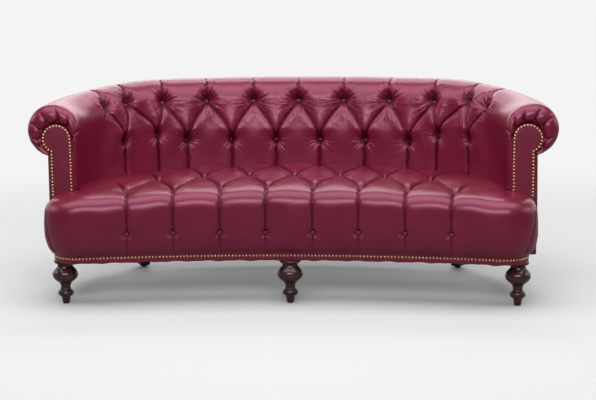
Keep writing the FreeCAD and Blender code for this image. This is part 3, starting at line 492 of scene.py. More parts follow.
def rim_point(s):
    """Plan point and outward way on the nail line, s along it from the middle of the front."""
    along = abs(s)
    if along <= front_length:
        angle = along / front_curve_radius
        way = (-math.sin(angle), -math.cos(angle))
        at = (front_curve_radius * math.sin(angle), front_centre_y + front_curve_radius * math.cos(angle))
    elif along <= front_length + corner_length:
        angle = (along - front_length) / front_corner_radius - front_turn
        way = (math.sin(angle), -math.cos(angle))
        at = (corner_x + front_corner_radius * way[0], corner_y + front_corner_radius * way[1])
    else:
        way = (1.0, 0.0)
        at = (base_half, corner_y + along - front_length - corner_length)
    if s < 0:
        return np.array([-at[0], at[1]]), np.array([-way[0], way[1]])
    return np.array(at), np.array(way)


def front_y(x):
    return front_centre_y + math.sqrt(front_curve_radius ** 2 - x ** 2)


# Outside line of the back and arms in plan: a wide arc for the back, a tighter one for each arm
back_radius = 2.0
back_turn = math.radians(17.2)
half_span = 0.987
back_y = 0.408
arm_radius = (half_span - back_radius * math.sin(back_turn)) / (1 - math.sin(back_turn))
arm_centre = np.array([math.sin(back_turn), math.cos(back_turn)]) * (back_radius - arm_radius)
arm_centre = arm_centre + np.array([0.0, back_y - back_radius])
back_half_length = back_radius * back_turn
arm_length = arm_radius * (math.pi / 2 - back_turn)
arm_end = back_half_length + arm_length
inside_back_depth = 0.150
inside_arm_depth = 0.105


def ease(t):
    return t * t * (3 - 2 * t)


def between(low, high, value):
    """0 below low and 1 above high, eased from one to the other."""
    return ease(min(max((value - low) / (high - low), 0.0), 1.0))


def spine_point(s):
    """Plan point and outward way on the outside line, and the share of the arm that is reached."""
    along = abs(s)
    if along <= back_half_length:
        angle = along / back_radius
        at = np.array([back_radius * math.sin(angle), back_y - back_radius + back_radius * math.cos(angle)])
        share = 0.0
    else:
        share = min((along - back_half_length) / arm_length, 1.0)
        angle = back_turn + share * arm_length / arm_radius
        at = arm_centre + arm_radius * np.array([math.sin(angle), math.cos(angle)])
    way = np.array([math.sin(angle), math.cos(angle)])
    if s < 0:
        return at * (-1, 1), way * (-1, 1), share
    return at, way, share


def inside_depth(share):
    return inside_back_depth + (inside_arm_depth - inside_back_depth) * ease(share)


# Section of the seat: up the front, over the edge and back along the top to under the back and arms.
# The curve gives how far the front stands before the nail line at each share of its height.
seat_height = 0.465
seat_crown = 0.038
seat_tuck = 0.03
seat_top_swell = 0.010
seat_swell_power = 1.4
seat_fall = 0.010
seat_edge_inset = 0.120
leather_bottom = 0.1783
nail_band = 0.1
seat_columns = 721
front_rows = 126
top_rows = 106
seat_curve = smooth_line([
    (0.0, 0.0), (0.0, 0.05), (0.0, nail_band), (0.010, 0.18), (0.020, 0.29), (0.0265, 0.42), (0.0280, 0.56),
    (0.0268, 0.70), (0.0228, 0.810), (0.0140, 0.883), (0.000, 0.934), (-0.020, 0.967), (-0.048, 0.986),
    (-0.082, 0.996), (-seat_edge_inset, 1.0),
], steps=12)
seat_rise = seat_height - leather_bottom
curve_steps = np.linalg.norm(np.diff(seat_curve * (1.0, seat_rise), axis=0), axis=1)
curve_run = np.concatenate([[0.0], np.cumsum(curve_steps)])
front_runs = np.linspace(0, curve_run[-1], front_rows, endpoint=False)
front_out = np.interp(front_runs, curve_run, seat_curve[:, 0])
front_share = np.interp(front_runs, curve_run, seat_curve[:, 1])


def seat_top(x):
    return seat_height - seat_crown * (x / base_half) ** 2


def seat_back_point(s):
    """Where the seat ends under the back or arm, for the section at s on the front."""
    at, way, share = spine_point(s / rim_length * arm_end)
    return at - way * (inside_depth(share) - seat_tuck)


def seat_section(s):
    at, way = rim_point(s)
    back = seat_back_point(s)
    edge_top = seat_top(at[0])
    points = []
    for out, share in zip(front_out, front_share):
        points.append((*(at + way * out), leather_bottom + share * (edge_top - leather_bottom)))
    start = at - way * seat_edge_inset
    for k in range(top_rows):
        share = k / (top_rows - 1)
        plan = start + (back - start) * share
        swell = seat_top_swell * math.sin(math.pi * share) ** seat_swell_power - seat_fall * share
        points.append((*plan, edge_top + (seat_top(plan[0]) - edge_top) * share + swell))
    return points


tiny = 1e-9
out_of_reach = 9.0


def surface_normals(grid):
    normal = np.cross(np.gradient(grid, axis=1), np.gradient(grid, axis=0))
    return normal / np.maximum(np.linalg.norm(normal, axis=2, keepdims=True), tiny)


def nearest_on(points, line):
    """Distance from each point to a line, the nearest spot on the line, and how far along it that is."""
    best = np.full(len(points), out_of_reach)
    spot = np.zeros_like(points)
    along = np.zeros(len(points))
    lengths = np.linalg.norm(np.diff(line, axis=0), axis=1)
    done = 0.0
    for a, b, length in zip(line, line[1:], lengths):
        run = b - a
        share = np.clip((points - a) @ run / max(run @ run, tiny), 0, 1)
        there = a + share[:, None] * run
        distance = np.linalg.norm(points - there, axis=1)
        closer = distance < best
        best[closer] = distance[closer]
        spot[closer] = there[closer]
        along[closer] = (done + share[closer] * length) / lengths.sum()
        done += length
    return best, spot, along


pleat_reach = 0.13
pleat_snap = 0.0026
snap_hold = 1.5
crease_share = 0.4
dark_depth = 0.012
pleat_blend = 4


def draw_pleats(grid, pleats):
    """The grid with its points drawn onto the pleats, how deep these sink it, and how much shade to paint
    along their creases.
    A pleat has a line, a depth at each end, and the widths of its crease and its shoulder.
    Where far_side is true, its shoulder is far_shoulder wide instead."""
    points = grid.reshape(-1, 3).copy()
    sink = np.zeros(len(points))
    crease = np.zeros(len(points))
    for pleat in pleats:
        line = np.array(pleat["line"])
        low, high = line.min(0) - pleat_reach, line.max(0) + pleat_reach
        near = np.where(((points > low) & (points < high)).all(1))[0]
        distance, spot, along = nearest_on(points[near], line)
        pull = np.clip(snap_hold - distance / pleat_snap, 0, 1) * ((along > 0) & (along < 1))
        points[near] += (spot - points[near]) * pull[:, None]
        distance = distance * (1 - pull)
        shoulder = pleat["shoulder"]
        if "far_side" in pleat:
            shoulder = np.where(pleat["far_side"].reshape(-1)[near], pleat["far_shoulder"], shoulder)
        first, last = pleat["depth"]
        depth = first + (last - first) * along
        sharp = np.exp(-distance / pleat["crease"])
        soft = np.exp(-distance / shoulder)
        valley = crease_share * sharp + (1 - crease_share) * soft
        sink[near] += np.maximum(depth * valley, 0) ** pleat_blend
        # Painted shade along each pleat's crease line, full where the pleat is at least dark_depth deep.
        dark = np.exp(-(distance / pleat["crease"]) ** 2) * np.clip(depth / dark_depth, 0, 1)
        crease[near] = np.maximum(crease[near], dark)
    sink = sink ** (1 / pleat_blend)
    return points.reshape(grid.shape), sink.reshape(grid.shape[:2]), crease.reshape(grid.shape[:2])


crease_shift = 1.7


def button_pull(across, up, buttons):
    """Offset of each point from its nearest button along the surface, and its distance.
    The offset's third number differs from button to button, so that their creases differ."""
    best = np.full(across.shape, out_of_reach)
    pull = np.zeros((*across.shape, 3))
    for number, (x, y) in enumerate(buttons):
        reach = np.hypot(across - x, up - y)
        closer = reach < best
        best[closer] = reach[closer]
        offset = np.stack([across - x, up - y, np.full_like(across, number * crease_shift)], axis=2)
        pull[closer] = offset[closer]
    return pull, best


def falling(reach, width, power):
    """1 at a button, falling off to 0 away from it."""
    return np.exp(-(reach / width) ** power)


def ripple(across, up, height, rates, starts):
    """Slow unevenness of a stuffed hide."""
    return height * np.sin(rates[0] * across + starts[0]) * np.sin(rates[1] * up + starts[1])


rim_runs = np.linspace(-rim_length, rim_length, seat_columns)
seat_base = np.array([seat_section(s) for s in rim_runs]).transpose(1, 0, 2)
seat_normal = surface_normals(seat_base)
seat_across = np.repeat(rim_runs[None, :], len(seat_base), axis=0)
seat_steps = np.linalg.norm(np.diff(seat_base, axis=0), axis=2)
seat_up = np.vstack([np.zeros((1, seat_columns)), np.cumsum(seat_steps, axis=0)])

# Buttons and pleats of the seat: columns up the front to the edge row, then a staggered row behind it
seat_button_pitch = 0.189
seat_button_columns = 8
front_button_height = 0.292
edge_button_setback = 0.122
inner_button_setback = 0.335
back_row_y = 0.26
back_row_draw = 0.95
edge_from = 0.93
pleat_foot_row = 8
pleat_stride = 3
pleat_runs = 6
whisker_end = (0.034, -0.012)
outer_pleat_end = (0.07, 0.15)
seat_edge_start = int(np.searchsorted(front_share, edge_from))
column_xs = [(k - (seat_button_columns - 1) / 2) * seat_button_pitch for k in range(seat_button_columns)]
between_xs = [(a + b) / 2 for a, b in zip(column_xs, column_xs[1:])]
edge_plans = [np.array([x, front_y(x) + edge_button_setback]) for x in column_xs]
inner_plans = [np.array([x, front_y(x) + inner_button_setback]) for x in between_xs]


def seat_place(x, y):
    """Row and column of the point of the seat top nearest to a plan point."""
    top = seat_base[seat_edge_start:]
    distance = np.hypot(top[:, :, 0] - x, top[:, :, 1] - y)
    row, column = np.unravel_index(distance.argmin(), distance.shape)
    return row + seat_edge_start, column


def seat_line(start, end):
    """A straight run over the seat top between two plan points."""
    line = []
    for k in range(pleat_runs + 1):
        x, y = start + (end - start) * k / pleat_runs
        line.append((x, y, seat_base[seat_place(x, y)][2]))
    return line


edge_places = [seat_place(*plan) for plan in edge_plans]
inner_places = [seat_place(*plan) for plan in inner_plans]
front_places = []
seat_pleats = []
for row, column in edge_places:
    front_rise = seat_base[:seat_edge_start, column, 2]
    front_places.append((int(np.searchsorted(front_rise, front_button_height)), column))
    down_front = seat_base[pleat_foot_row:row + 1, column][::-pleat_stride]
    seat_pleats.append(dict(line=down_front, depth=(0.027, 0.0065), crease=0.003, shoulder=0.038))
for k, inner in enumerate(inner_plans):
    for edge in (edge_plans[k], edge_plans[k + 1]):
        line = seat_line(edge, inner)
        seat_pleats.append(dict(line=line, depth=(0.027, 0.024), crease=0.0035, shoulder=0.028))
    for x in (column_xs[k], column_xs[k + 1]):
        line = seat_line(inner, np.array([inner[0] + (x - inner[0]) * back_row_draw, back_row_y]))
        seat_pleats.append(dict(line=line, depth=(0.025, 0.022), crease=0.0035, shoulder=0.028))
for edge in edge_plans:
    for side in (-1, 1):
        line = seat_line(edge, edge + np.array(whisker_end) * (side, 1))
        seat_pleats.append(dict(line=line, depth=(0.015, 0.0), crease=0.003, shoulder=0.008))
for edge, side in ((edge_plans[0], -1), (edge_plans[-1], 1)):
    line = seat_line(edge, edge + np.array(outer_pleat_end) * (side, 1))
    seat_pleats.append(dict(line=line, depth=(0.024, 0.004), crease=0.0045, shoulder=0.024))

# Fold at each front corner, where the side of the hide is tucked under the front
corner_fold_top = 0.965
corner_fold_foot = 0.925
corner_fold_height = 0.78
corner_fold_drop = 0.66
corner_fold_runs = 11
for side in (-1, 1):
    line = []
    for k in range(corner_fold_runs + 1):
        share = k / corner_fold_runs
        run = corner_fold_top + (corner_fold_foot - corner_fold_top) * share
        column = int(np.abs(rim_runs - side * run).argmin())
        row = int(np.searchsorted(front_share, corner_fold_height - corner_fold_drop * share))
        line.append(seat_base[row, column])
    seat_pleats.append(dict(line=line, depth=(0.004, 0.009), crease=0.003, shoulder=0.009))

seat_grid, seat_sink, seat_crease_shade = draw_pleats(seat_base, seat_pleats)
top_spots = [(seat_across[place], seat_up[place]) for place in edge_places + inner_places]
front_spots = [(seat_across[place], seat_up[place]) for place in front_places]
seat_pull = button_pull(seat_across, seat_up, top_spots + front_spots)[0]
top_away = button_pull(seat_across, seat_up, top_spots)[1]
front_away = button_pull(seat_across, seat_up, front_spots)[1]

# Stuffing: the hide swells out between the pleats and is drawn in at each button
front_fullness = 0.009
top_fullness = 0.013
full_from = 0.22
top_from = 0.7
seat_hollow_depth = 0.019
front_dimple_depth = 0.006
front_hollow_depth = 0.009
hem_rows = 5
hem_waves = ((0.0015, 52, 0), (0.001, 97, 1))
hem_turn_in = 0.006
seat_floor = 0.302
seat_back_edge = 0.33
seat_hollow = seat_hollow_depth * falling(top_away, width=0.026, power=1.5)
front_hollow = front_dimple_depth * falling(front_away, width=0.015, power=2)
front_hollow += front_hollow_depth * falling(front_away, width=0.042, power=1.5)
row_shares = np.concatenate([front_share, np.ones(top_rows)])
seat_drop = np.array([between(nail_band, full_from, share) for share in row_shares])
top_share = np.array([between(top_from, 1.0, share) for share in row_shares])
seat_lift = front_fullness * seat_drop + (top_fullness - front_fullness) * top_share
seat_total = (seat_sink + seat_hollow + front_hollow) * seat_drop[:, None]
waves = ripple(seat_across, seat_up, height=0.0016, rates=(17, 21), starts=(3, 1.3))
waves += ripple(seat_across, seat_up, height=0.0012, rates=(41, 33), starts=(0.5, 2.1))
seat_raise = seat_lift[:, None] - seat_total + waves * seat_drop[:, None]
seat_out = seat_grid + seat_normal * seat_raise[:, :, None]
hem_wave = sum(height * np.sin(rate * rim_runs + start) for height, rate, start in hem_waves)
for row in range(hem_rows):
    seat_out[row, :, 2] += hem_wave * (1 - row / hem_rows)

under_rows = []
for s in rim_runs:
    at, way = rim_point(s)
    back = seat_back_point(s)
    foot = at - way * hem_turn_in
    under_back = [(*back, seat_back_edge), (*back, seat_floor)]
    under_rows.append(under_back + [(*foot, seat_floor), (*foot, leather_bottom)])
seat_all = np.vstack([seat_out, np.array(under_rows).transpose(1, 0, 2)])


def tube_faces(rows, columns):
    """Faces of a sleeve closed along its rows, with a cap at each end."""
    faces = grid_faces(rows, columns, wrap_rows=True)
    faces.append(tuple(i * columns for i in range(rows)))
    faces.append(tuple((i + 1) * columns - 1 for i in reversed(range(rows))))
    return faces


def sleeve_piece(name, grid, material, slot):
    return mesh_piece(name, grid.reshape(-1, 3), tube_faces(*grid.shape[:2]), material, slot)


def set_field(piece, name, values, kind, key):
    """A field of the mesh for its material to read, with zeros for the hidden rows that close it."""
    spare = np.zeros((len(piece.data.vertices) - len(values), values.shape[1]))
    attribute = piece.data.attributes.new(name, kind, "POINT")
    attribute.data.foreach_set(key, np.vstack([values, spare]).astype(np.float32).reshape(-1))


def set_fields(piece, valley, pull, crush):
    # The valley field is the painted shade that the hide's material reads.
    set_field(piece, "valley", np.clip(valley, 0, 1).reshape(-1, 1), "FLOAT", "value")
    set_field(piece, "crush", crush.reshape(-1, 1), "FLOAT", "value")
    set_field(piece, "pull", pull.reshape(-1, 3), "FLOAT_VECTOR", "vector")


hollow_fade = 0.02
front_crush = 0.6


def painted_shade_field(crease, sunk, crease_dark, dark_from, hollow_dark):
    """How much shade is painted on the hide: in its creases, and where it is sunk deeper than dark_from."""
    return np.maximum(crease_dark * crease, hollow_dark * np.clip((sunk - dark_from) / hollow_fade, 0, 1))


seat = sleeve_piece("seat_hide", seat_all, cover_hide, "cover_leather")
# Painted shade on the seat, in its pleat creases and deep hollows.
seat_painted_shade = painted_shade_field(seat_crease_shade, seat_total, crease_dark=0.8, dark_from=0.02, hollow_dark=0.55)
seat_crush = falling(top_away, width=0.065, power=1.6)
seat_crush += front_crush * falling(front_away, width=0.04, power=1.6)
set_fields(seat, seat_painted_shade, seat_pull, seat_crush)
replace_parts(seat, "seat_cover", "seat_stuffing")


# Seat buttons: metal shells covered in the same hide, tied down through the stuffing with twine.
# One row runs along the front, one along the edge and one behind it, staggered.
button_hide = make_hide(
    "button_hide", mid=(0.14, 0.0055, 0.024), bright=(0.17, 0.008, 0.031), rough=(0.28, 0.38)
)
button_profile = smooth_line([
    (0.0, -0.004), (0.0072, -0.004), (0.0088, -0.0015), (0.009, 0.0005), (0.0078, 0.0028), (0.0045, 0.0045),
    (0.0, 0.005),
], steps=3)
button_segments = 20
seat_button_proud = 0.003
front_button_proud = 0.008


def turned_set(profile, places, segments):
    """Copies of one turned piece, each set at a spot and turned to face a way."""
    vertices, faces = turned(profile, (0.0, 0.0, 0.0), segments)
    local = np.array(vertices)
    all_vertices, all_faces = [], []
    for spot, way in places:
        turn = np.array(Vector((0, 0, 1)).rotation_difference(Vector(way)).to_matrix())
        first = len(all_vertices)
        all_vertices.extend(local @ turn.T + np.array(spot))
        all_faces.extend(tuple(first + i for i in face) for face in faces)
    return all_vertices, all_faces


def button_set(name, places):
    shells = turned_set(button_profile, places, button_segments)
    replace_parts(mesh_piece("covered_" + name, *shells, button_hide, "button_leather"), name)


def seated(place, out, normal, proud):
    return out[place] + normal[place] * proud, normal[place]


button_set("seat_buttons", [
    seated(place, seat_out, seat_normal, seat_button_proud) for place in edge_places + inner_places
])
button_set("seat_front_buttons", [
    seated(place, seat_out, seat_normal, front_button_proud) for place in front_places
])


# Inside back and arms: one hide over stuffing, drawn up the inside and over the roll, and deep-buttoned.
# It is tacked under the roll, and at each arm front it is gathered in round the facing.
roll_radius = 0.103
roll_inset = 0.020
roll_back_height = 0.727
roll_arm_height = 0.683
lean_start = 0.470
cover_foot = 0.400
nose_swell = 0.048
nose_radius = 0.076
nose_inset = 0.014
nose_drop = 0.026
nose_corner = 0.020
tuck_width = 0.010
tuck_depth = 0.005
tuck_back = 0.008
tuck_power = 1.6
tuck_steps = (0.5, 1, 1.5, 2)
panel_thickness = 0.0027
foot_rows = 14
lean_rows = 84
roll_rows = 130
nose_columns = 24
back_columns = 860
soften = 9
softener = np.hanning(2 * soften + 3)[1:-1]
softener = softener / softener.sum()


def roll_height(share):
    return roll_back_height + (roll_arm_height - roll_back_height) * ease(share)


def section_at(height, depth, radius, inset, outer):
    """One section of the cover as (n, z) points: foot, lean, then round the roll; n runs outward."""
    centre = -roll_inset - inset
    end = -math.acos(min((outer - centre) / radius, 1.0))
    points = []
    for k in range(foot_rows):
        points.append((-depth, cover_foot + (lean_start - cover_foot) * k / foot_rows))
    for k in range(lean_rows):
        share = k / lean_rows
        n = -depth + (centre - radius + depth) * share
        points.append((n, lean_start + (height - lean_start) * share))
    for k in range(roll_rows):
        angle = math.pi + (end - math.pi) * k / (roll_rows - 1)
        points.append((centre + radius * math.cos(angle), height + radius * math.sin(angle)))
    points = np.array(points)
    for axis in (0, 1):
        points[soften:-soften, axis] = np.convolve(points[:, axis], softener, "valid")
    return points


def cover_station(s):
    at, way, share = spine_point(s)
    section = section_at(roll_height(share), inside_depth(share), roll_radius, 0.0, -panel_thickness)
    return [(*(at + way * n), z) for n, z in section]


def nose_station(side, turn):
    """A section of the arm front, at a turn from the side to the front, with a rounded inner corner."""
    share = 1 - math.cos(turn)
    past = max(1 - nose_swell * (1 - math.sin(turn)) / nose_corner, 0.0)
    depth = inside_arm_depth - nose_corner * (1 - math.sqrt(1 - past ** 2))
    radius = roll_radius - (roll_radius - nose_radius) * share
    section = section_at(
        roll_arm_height - nose_drop * share, depth, radius, nose_inset * share, -panel_thickness
    )
    y = arm_front_y - nose_swell * math.sin(turn)
    return [(side * (half_span + n), y, z) for n, z in section]


def tucked_station(side, step):
    """The gathered hide turns in behind the facing."""
    draw_in = tuck_width * step
    depth = inside_arm_depth - nose_corner - draw_in
    outer = -panel_thickness - tuck_back * step
    section = section_at(roll_arm_height - nose_drop, depth, nose_radius - draw_in, nose_inset, outer)
    y = arm_front_y - nose_swell + tuck_depth * step ** tuck_power
    return [(side * (half_span + n), y, z) for n, z in section]


cover_runs = np.linspace(-arm_end, arm_end, back_columns)
nose_turns = [math.pi / 2 * (k + 1) / nose_columns for k in range(nose_columns)]
stations = [tucked_station(-1, step) for step in reversed(tuck_steps)]
stations += [nose_station(-1, turn) for turn in reversed(nose_turns)]
first_column = len(stations)
stations += [cover_station(s) for s in cover_runs]
stations += [nose_station(1, turn) for turn in nose_turns]
stations += [tucked_station(1, step) for step in tuck_steps]
cover_base = np.array(stations).transpose(1, 0, 2)
cover_rows, cover_columns = cover_base.shape[:2]
cover_middle = cover_columns // 2
cover_normal = surface_normals(cover_base)

# Places on the cover: across is the run along the outside line, up the rise above the foot of the roll
run_step = cover_runs[1] - cover_runs[0]
column_runs = (np.arange(cover_columns) - first_column) * run_step - arm_end
cover_across = np.repeat(column_runs[None, :], cover_rows, axis=0)
roll_start = foot_rows + lean_rows
column_shares = [spine_point(max(-arm_end, min(arm_end, s)))[2] for s in column_runs]
cover_up = cover_base[:, :, 2] - np.array([roll_height(share) for share in column_shares])[None, :]
roll_step = np.linalg.norm(cover_base[roll_start + 1, cover_middle] - cover_base[roll_start, cover_middle])
cover_up[roll_start:] = (np.arange(roll_rows) * roll_step)[:, None]


def cover_place(s, rise):
    """Row and column, with fractions, of the spot at s along the back and a rise above the roll's foot."""
    column = first_column + (s + arm_end) / run_step
    if rise >= 0:
        return roll_start + rise / roll_step, column
    lean = roll_height(spine_point(s)[2]) - lean_start
    if rise > -lean:
        return roll_start + rise / lean * lean_rows, column
    return max(foot_rows + (rise + lean) / (lean_start - cover_foot) * foot_rows, 0.0), column


def cover_at(s, rise):
    row, column = cover_place(s, rise)
    i = int(min(row, cover_rows - 2))
    j = int(min(column, cover_columns - 2))
    low = cover_base[i, j] * (1 - column + j) + cover_base[i, j + 1] * (column - j)
    high = cover_base[i + 1, j] * (1 - column + j) + cover_base[i + 1, j + 1] * (column - j)
    return low * (1 - row + i) + high * (row - i)


# Buttons of the back and arms: tied by hand, so not quite even; they crowd and climb towards the arms
back_button_pitch = 0.207
upper_button_count = 11
upper_rise = 0.007
lower_drop = 0.156
upper_crowd = 0.07
upper_crowd_run = (0.8, 1.04)
upper_climb = 0.018
upper_climb_run = (0.62, 0.83)
lower_crowd = 0.058
lower_climb = 0.032
lower_run = (0.52, 0.72)
button_scatter = 0.004
scatter = np.random.default_rng(seed=7)


def tied(s, crowd, rise):
    across = s - math.copysign(crowd, s) + scatter.uniform(-button_scatter, button_scatter)
    return across, rise + scatter.uniform(-button_scatter, button_scatter)


def upper_button(k):
    s = (k - (upper_button_count - 1) / 2) * back_button_pitch
    crowd = upper_crowd * between(*upper_crowd_run, abs(s))
    climb = upper_climb * between(*upper_climb_run, abs(s))
    return tied(s, crowd, upper_rise + climb)


def lower_button(k):
    s = (k - upper_button_count / 2 + 1) * back_button_pitch
    towards_arm = between(*lower_run, abs(s))
    return tied(s, lower_crowd * towards_arm, -lower_drop + lower_climb * towards_arm)


upper_spots = [upper_button(k) for k in range(upper_button_count)]
lower_spots = [lower_button(k) for k in range(upper_button_count - 1)]

# Pleats of the back: over the roll, in a fan above each upper button, in arches down to the lower ones,
# and from these straight down
arch_round = 0.8
arch_straight = 0.2
arch_runs = 12
roll_pleat_step = 0.012
roll_pleat_points = 15
roll_pleat_wander = 0.003
roll_pleat_turn = 9
fan_leans = (-1.2, -0.75, -0.35, 0.35, 0.75, 1.2)
fan_spread = 0.12
fan_reach = (0.055, 0.10)
fan_start = 0.004
fan_runs = 5
drop_pleat_step = 0.018
drop_pleat_points = 11
drop_pleat_wander = 0.002
drop_pleat_turn = 2


def arch_swing(share):
    """How far across an arch has swung at a share of its drop."""
    return arch_round * np.sin(share * math.pi / 2) + arch_straight * share


def arch_line(upper, lower):
    line = []
    for k in range(arch_runs + 1):
        share = k / arch_runs
        s = upper[0] + (lower[0] - upper[0]) * arch_swing(share)
        line.append(cover_at(s, upper[1] + (lower[1] - upper[1]) * share))
    return line


def beyond_arch(upper, lower):
    """True where the hide lies on the far side of an arch, above it."""
    share = np.clip((upper[1] - cover_up) / (upper[1] - lower[1]), 0, 1)
    arch = upper[0] + (lower[0] - upper[0]) * arch_swing(share)
    return (cover_across - arch) * np.sign(lower[0] - upper[0]) > 0


back_pleats = []
for s, rise in upper_spots:
    line = []
    for k in range(roll_pleat_points):
        wander = roll_pleat_wander * math.sin(roll_pleat_turn * k)
        line.append(cover_at(s + wander, rise + roll_pleat_step * k))
    back_pleats.append(dict(line=line, depth=(0.022, 0.002), crease=0.003, shoulder=0.012))
    for lean in fan_leans:
        reach = scatter.uniform(*fan_reach)
        spread = lean + scatter.uniform(-fan_spread, fan_spread)
        line = []
        for k in range(fan_runs + 1):
            run = reach * k / fan_runs
            line.append(cover_at(s + run * math.sin(spread), rise + fan_start + run * math.cos(spread)))
        back_pleats.append(dict(line=line, depth=(0.019, 0.0), crease=0.0024, shoulder=0.006))
for k, lower in enumerate(lower_spots):
    for upper in (upper_spots[k], upper_spots[k + 1]):
        back_pleats.append(dict(
            line=arch_line(upper, lower), depth=(0.022, 0.027), crease=0.0028, shoulder=0.012,
            far_shoulder=0.036, far_side=beyond_arch(upper, lower)
        ))
    s, rise = lower
    line = []
    for k in range(drop_pleat_points):
        wander = drop_pleat_wander * math.sin(drop_pleat_turn * k + s)
        line.append(cover_at(s + wander, rise - drop_pleat_step * k))
    back_pleats.append(dict(line=line, depth=(0.023, 0.014), crease=0.0028, shoulder=0.013))

# Gathers at each arm front, spread round the roll
gather_count = 7
gather_start = 0.03
gather_span = 0.84
gather_scatter = 0.03
gather_first = 2
gather_short = (2, 10)
for side in (-1, 1):
    columns = np.arange(first_column)
    if side > 0:
        columns = cover_columns - 1 - columns
    for k in range(gather_count):
        share = gather_start + gather_span * k / (gather_count - 1)
        share += scatter.uniform(-gather_scatter, gather_scatter)
        row = roll_start + int((roll_rows - 1) * share)
        reach = first_column - int(scatter.uniform(*gather_short))
        line = cover_base[row, columns[gather_first:reach]][::2]
        back_pleats.append(dict(line=line, depth=(0.015, 0.001), crease=0.0025, shoulder=0.008))

cover_grid, cover_sink, cover_crease_shade = draw_pleats(cover_base, back_pleats)
cover_pull, cover_away = button_pull(cover_across, cover_up, upper_spots + lower_spots)
upper_away = button_pull(cover_across, cover_up, upper_spots)[1]


def round_field(s, rise, wide, tall):
    """1 at a spot of the cover, falling off to 0 round it."""
    return np.exp(-((cover_across - s) / wide) ** 2 - ((cover_up - rise) / tall) ** 2)


# Stuffing of the back: hollows at the buttons, a bulge in each V between two arches and in each arch
upper_hollow_depth = 0.032
upper_hollow_rise = 0.016
lower_hollow_depth = 0.020
lower_hollow_rise = 0.006
cover_fullness = 0.010
vee_fullness = 0.022
vee_rise = 0.055
vee_tall = (0.078, 0.035)
arch_fullness = 0.012
arch_drop = 0.16
roll_flatten = 0.85
roll_flatten_run = (0.02, 0.15)
held_rows = 4
under_roll_rows = 24
cover_hollow = np.zeros_like(cover_sink)
cover_lift = np.full_like(cover_sink, cover_fullness)
for s, rise in upper_spots:
    hollow = upper_hollow_depth * round_field(s, rise + upper_hollow_rise, wide=0.032, tall=0.036)
    cover_hollow = np.maximum(cover_hollow, hollow)
for s, rise in lower_spots:
    hollow = lower_hollow_depth * round_field(s, rise + lower_hollow_rise, wide=0.016, tall=0.020)
    cover_hollow = np.maximum(cover_hollow, hollow)
    tall = np.where(cover_up > rise + vee_rise, *vee_tall)
    cover_lift += vee_fullness * round_field(s, rise + vee_rise, wide=0.065, tall=tall)
for s, rise in upper_spots:
    cover_lift += arch_fullness * round_field(s, rise - arch_drop, wide=0.075, tall=0.07)
cover_total = cover_sink + cover_hollow
cover_lift[:held_rows] = 0.0
over_roll = np.array([between(*roll_flatten_run, rise) for rise in cover_up[:, cover_middle]])
cover_lift *= (1 - roll_flatten * over_roll)[:, None]
cover_lift[-under_roll_rows:] *= np.linspace(1, 0, under_roll_rows)[:, None]
nose_fade = [0.0] * len(tuck_steps) + [math.cos(turn) for turn in reversed(nose_turns)]
cover_lift *= np.array(nose_fade + [1.0] * back_columns + nose_fade[::-1])[None, :]
waves = ripple(cover_across, cover_up, height=0.0014, rates=(13, 17), starts=(1, 0.7))
cover_raise = cover_lift - cover_total + waves * (cover_lift > 0)
cover_out = cover_grid + cover_normal * cover_raise[:, :, None]

lining_depth = 0.045
lining_turn_in = 0.012
roll_crush = 0.8
lining = np.array([
    cover_base[-1] - cover_normal[-1] * lining_turn_in,
    (cover_base[roll_start + roll_rows // 2] + cover_base[-1]) / 2,
    *(cover_base[row] - cover_normal[row] * lining_depth for row in (roll_start, foot_rows, 0)),
])
cover = sleeve_piece("inside_hide", np.vstack([cover_out, lining]), cover_hide, "cover_leather")
# Painted shade on the inside back and arms, in the pleat creases and deep hollows.
cover_painted_shade = painted_shade_field(cover_crease_shade, cover_total, crease_dark=0.75, dark_from=0.026, hollow_dark=0.6)
cover_crush = np.maximum(
    falling(cover_away, width=0.05, power=1.6), roll_crush * falling(upper_away, width=0.075, power=2.2)
)
set_fields(cover, cover_painted_shade, cover_pull, cover_crush)
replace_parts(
    cover, "back_cover", "arm_cover_left", "arm_cover_right", "back_stuffing", "arm_stuffing_left",
    "arm_stuffing_right"
)


# Back and arm buttons: the same covered shells, tied down deep into the stuffing.
# Upper ones sit on the roll's inner face, lower ones between them.
back_button_proud = 0.004
back_button_sets = {"back_buttons": [], "arm_buttons_left": [], "arm_buttons_right": []}
for s, rise in upper_spots + lower_spots:
    where = "back_buttons"
    if abs(s) > back_half_length:
        where = "arm_buttons_right" if s > 0 else "arm_buttons_left"
    row, column = cover_place(s, rise)
    place = (int(round(row)), int(round(column)))
    back_button_sets[where].append(seated(place, cover_out, cover_normal, back_button_proud))
for name, places in back_button_sets.items():
    button_set(name, places)


# Arm facings: hide over a thin padded board, keyhole-shaped, tacked to the arm fronts.
# Brass nails follow the edge.
panel_hide = make_hide(
    "panel_hide", mid=(0.135, 0.007, 0.023), bright=(0.165, 0.011, 0.030), rough=(0.36, 0.46)
)
facing_head_radius = 0.060
facing_head_inset = 0.040
facing_head_drop = 0.033
facing_stem_inset = 0.013
facing_depth = 0.101
facing_foot = 0.405
facing_front_reach = 0.0483
facing_back_reach = 0.0383
facing_front_y = arm_front_y - facing_front_reach
facing_back_y = arm_front_y - facing_back_reach
inner_side_runs = 24
head_runs = 40
outer_side_runs = 19
middle_lift = 0.02
middle_draw = 0.6
head_n = -facing_head_inset
head_z = roll_arm_height - facing_head_drop
stem_out = -facing_stem_inset
stem_in = -facing_depth
stem_middle = (stem_out + stem_in) / 2


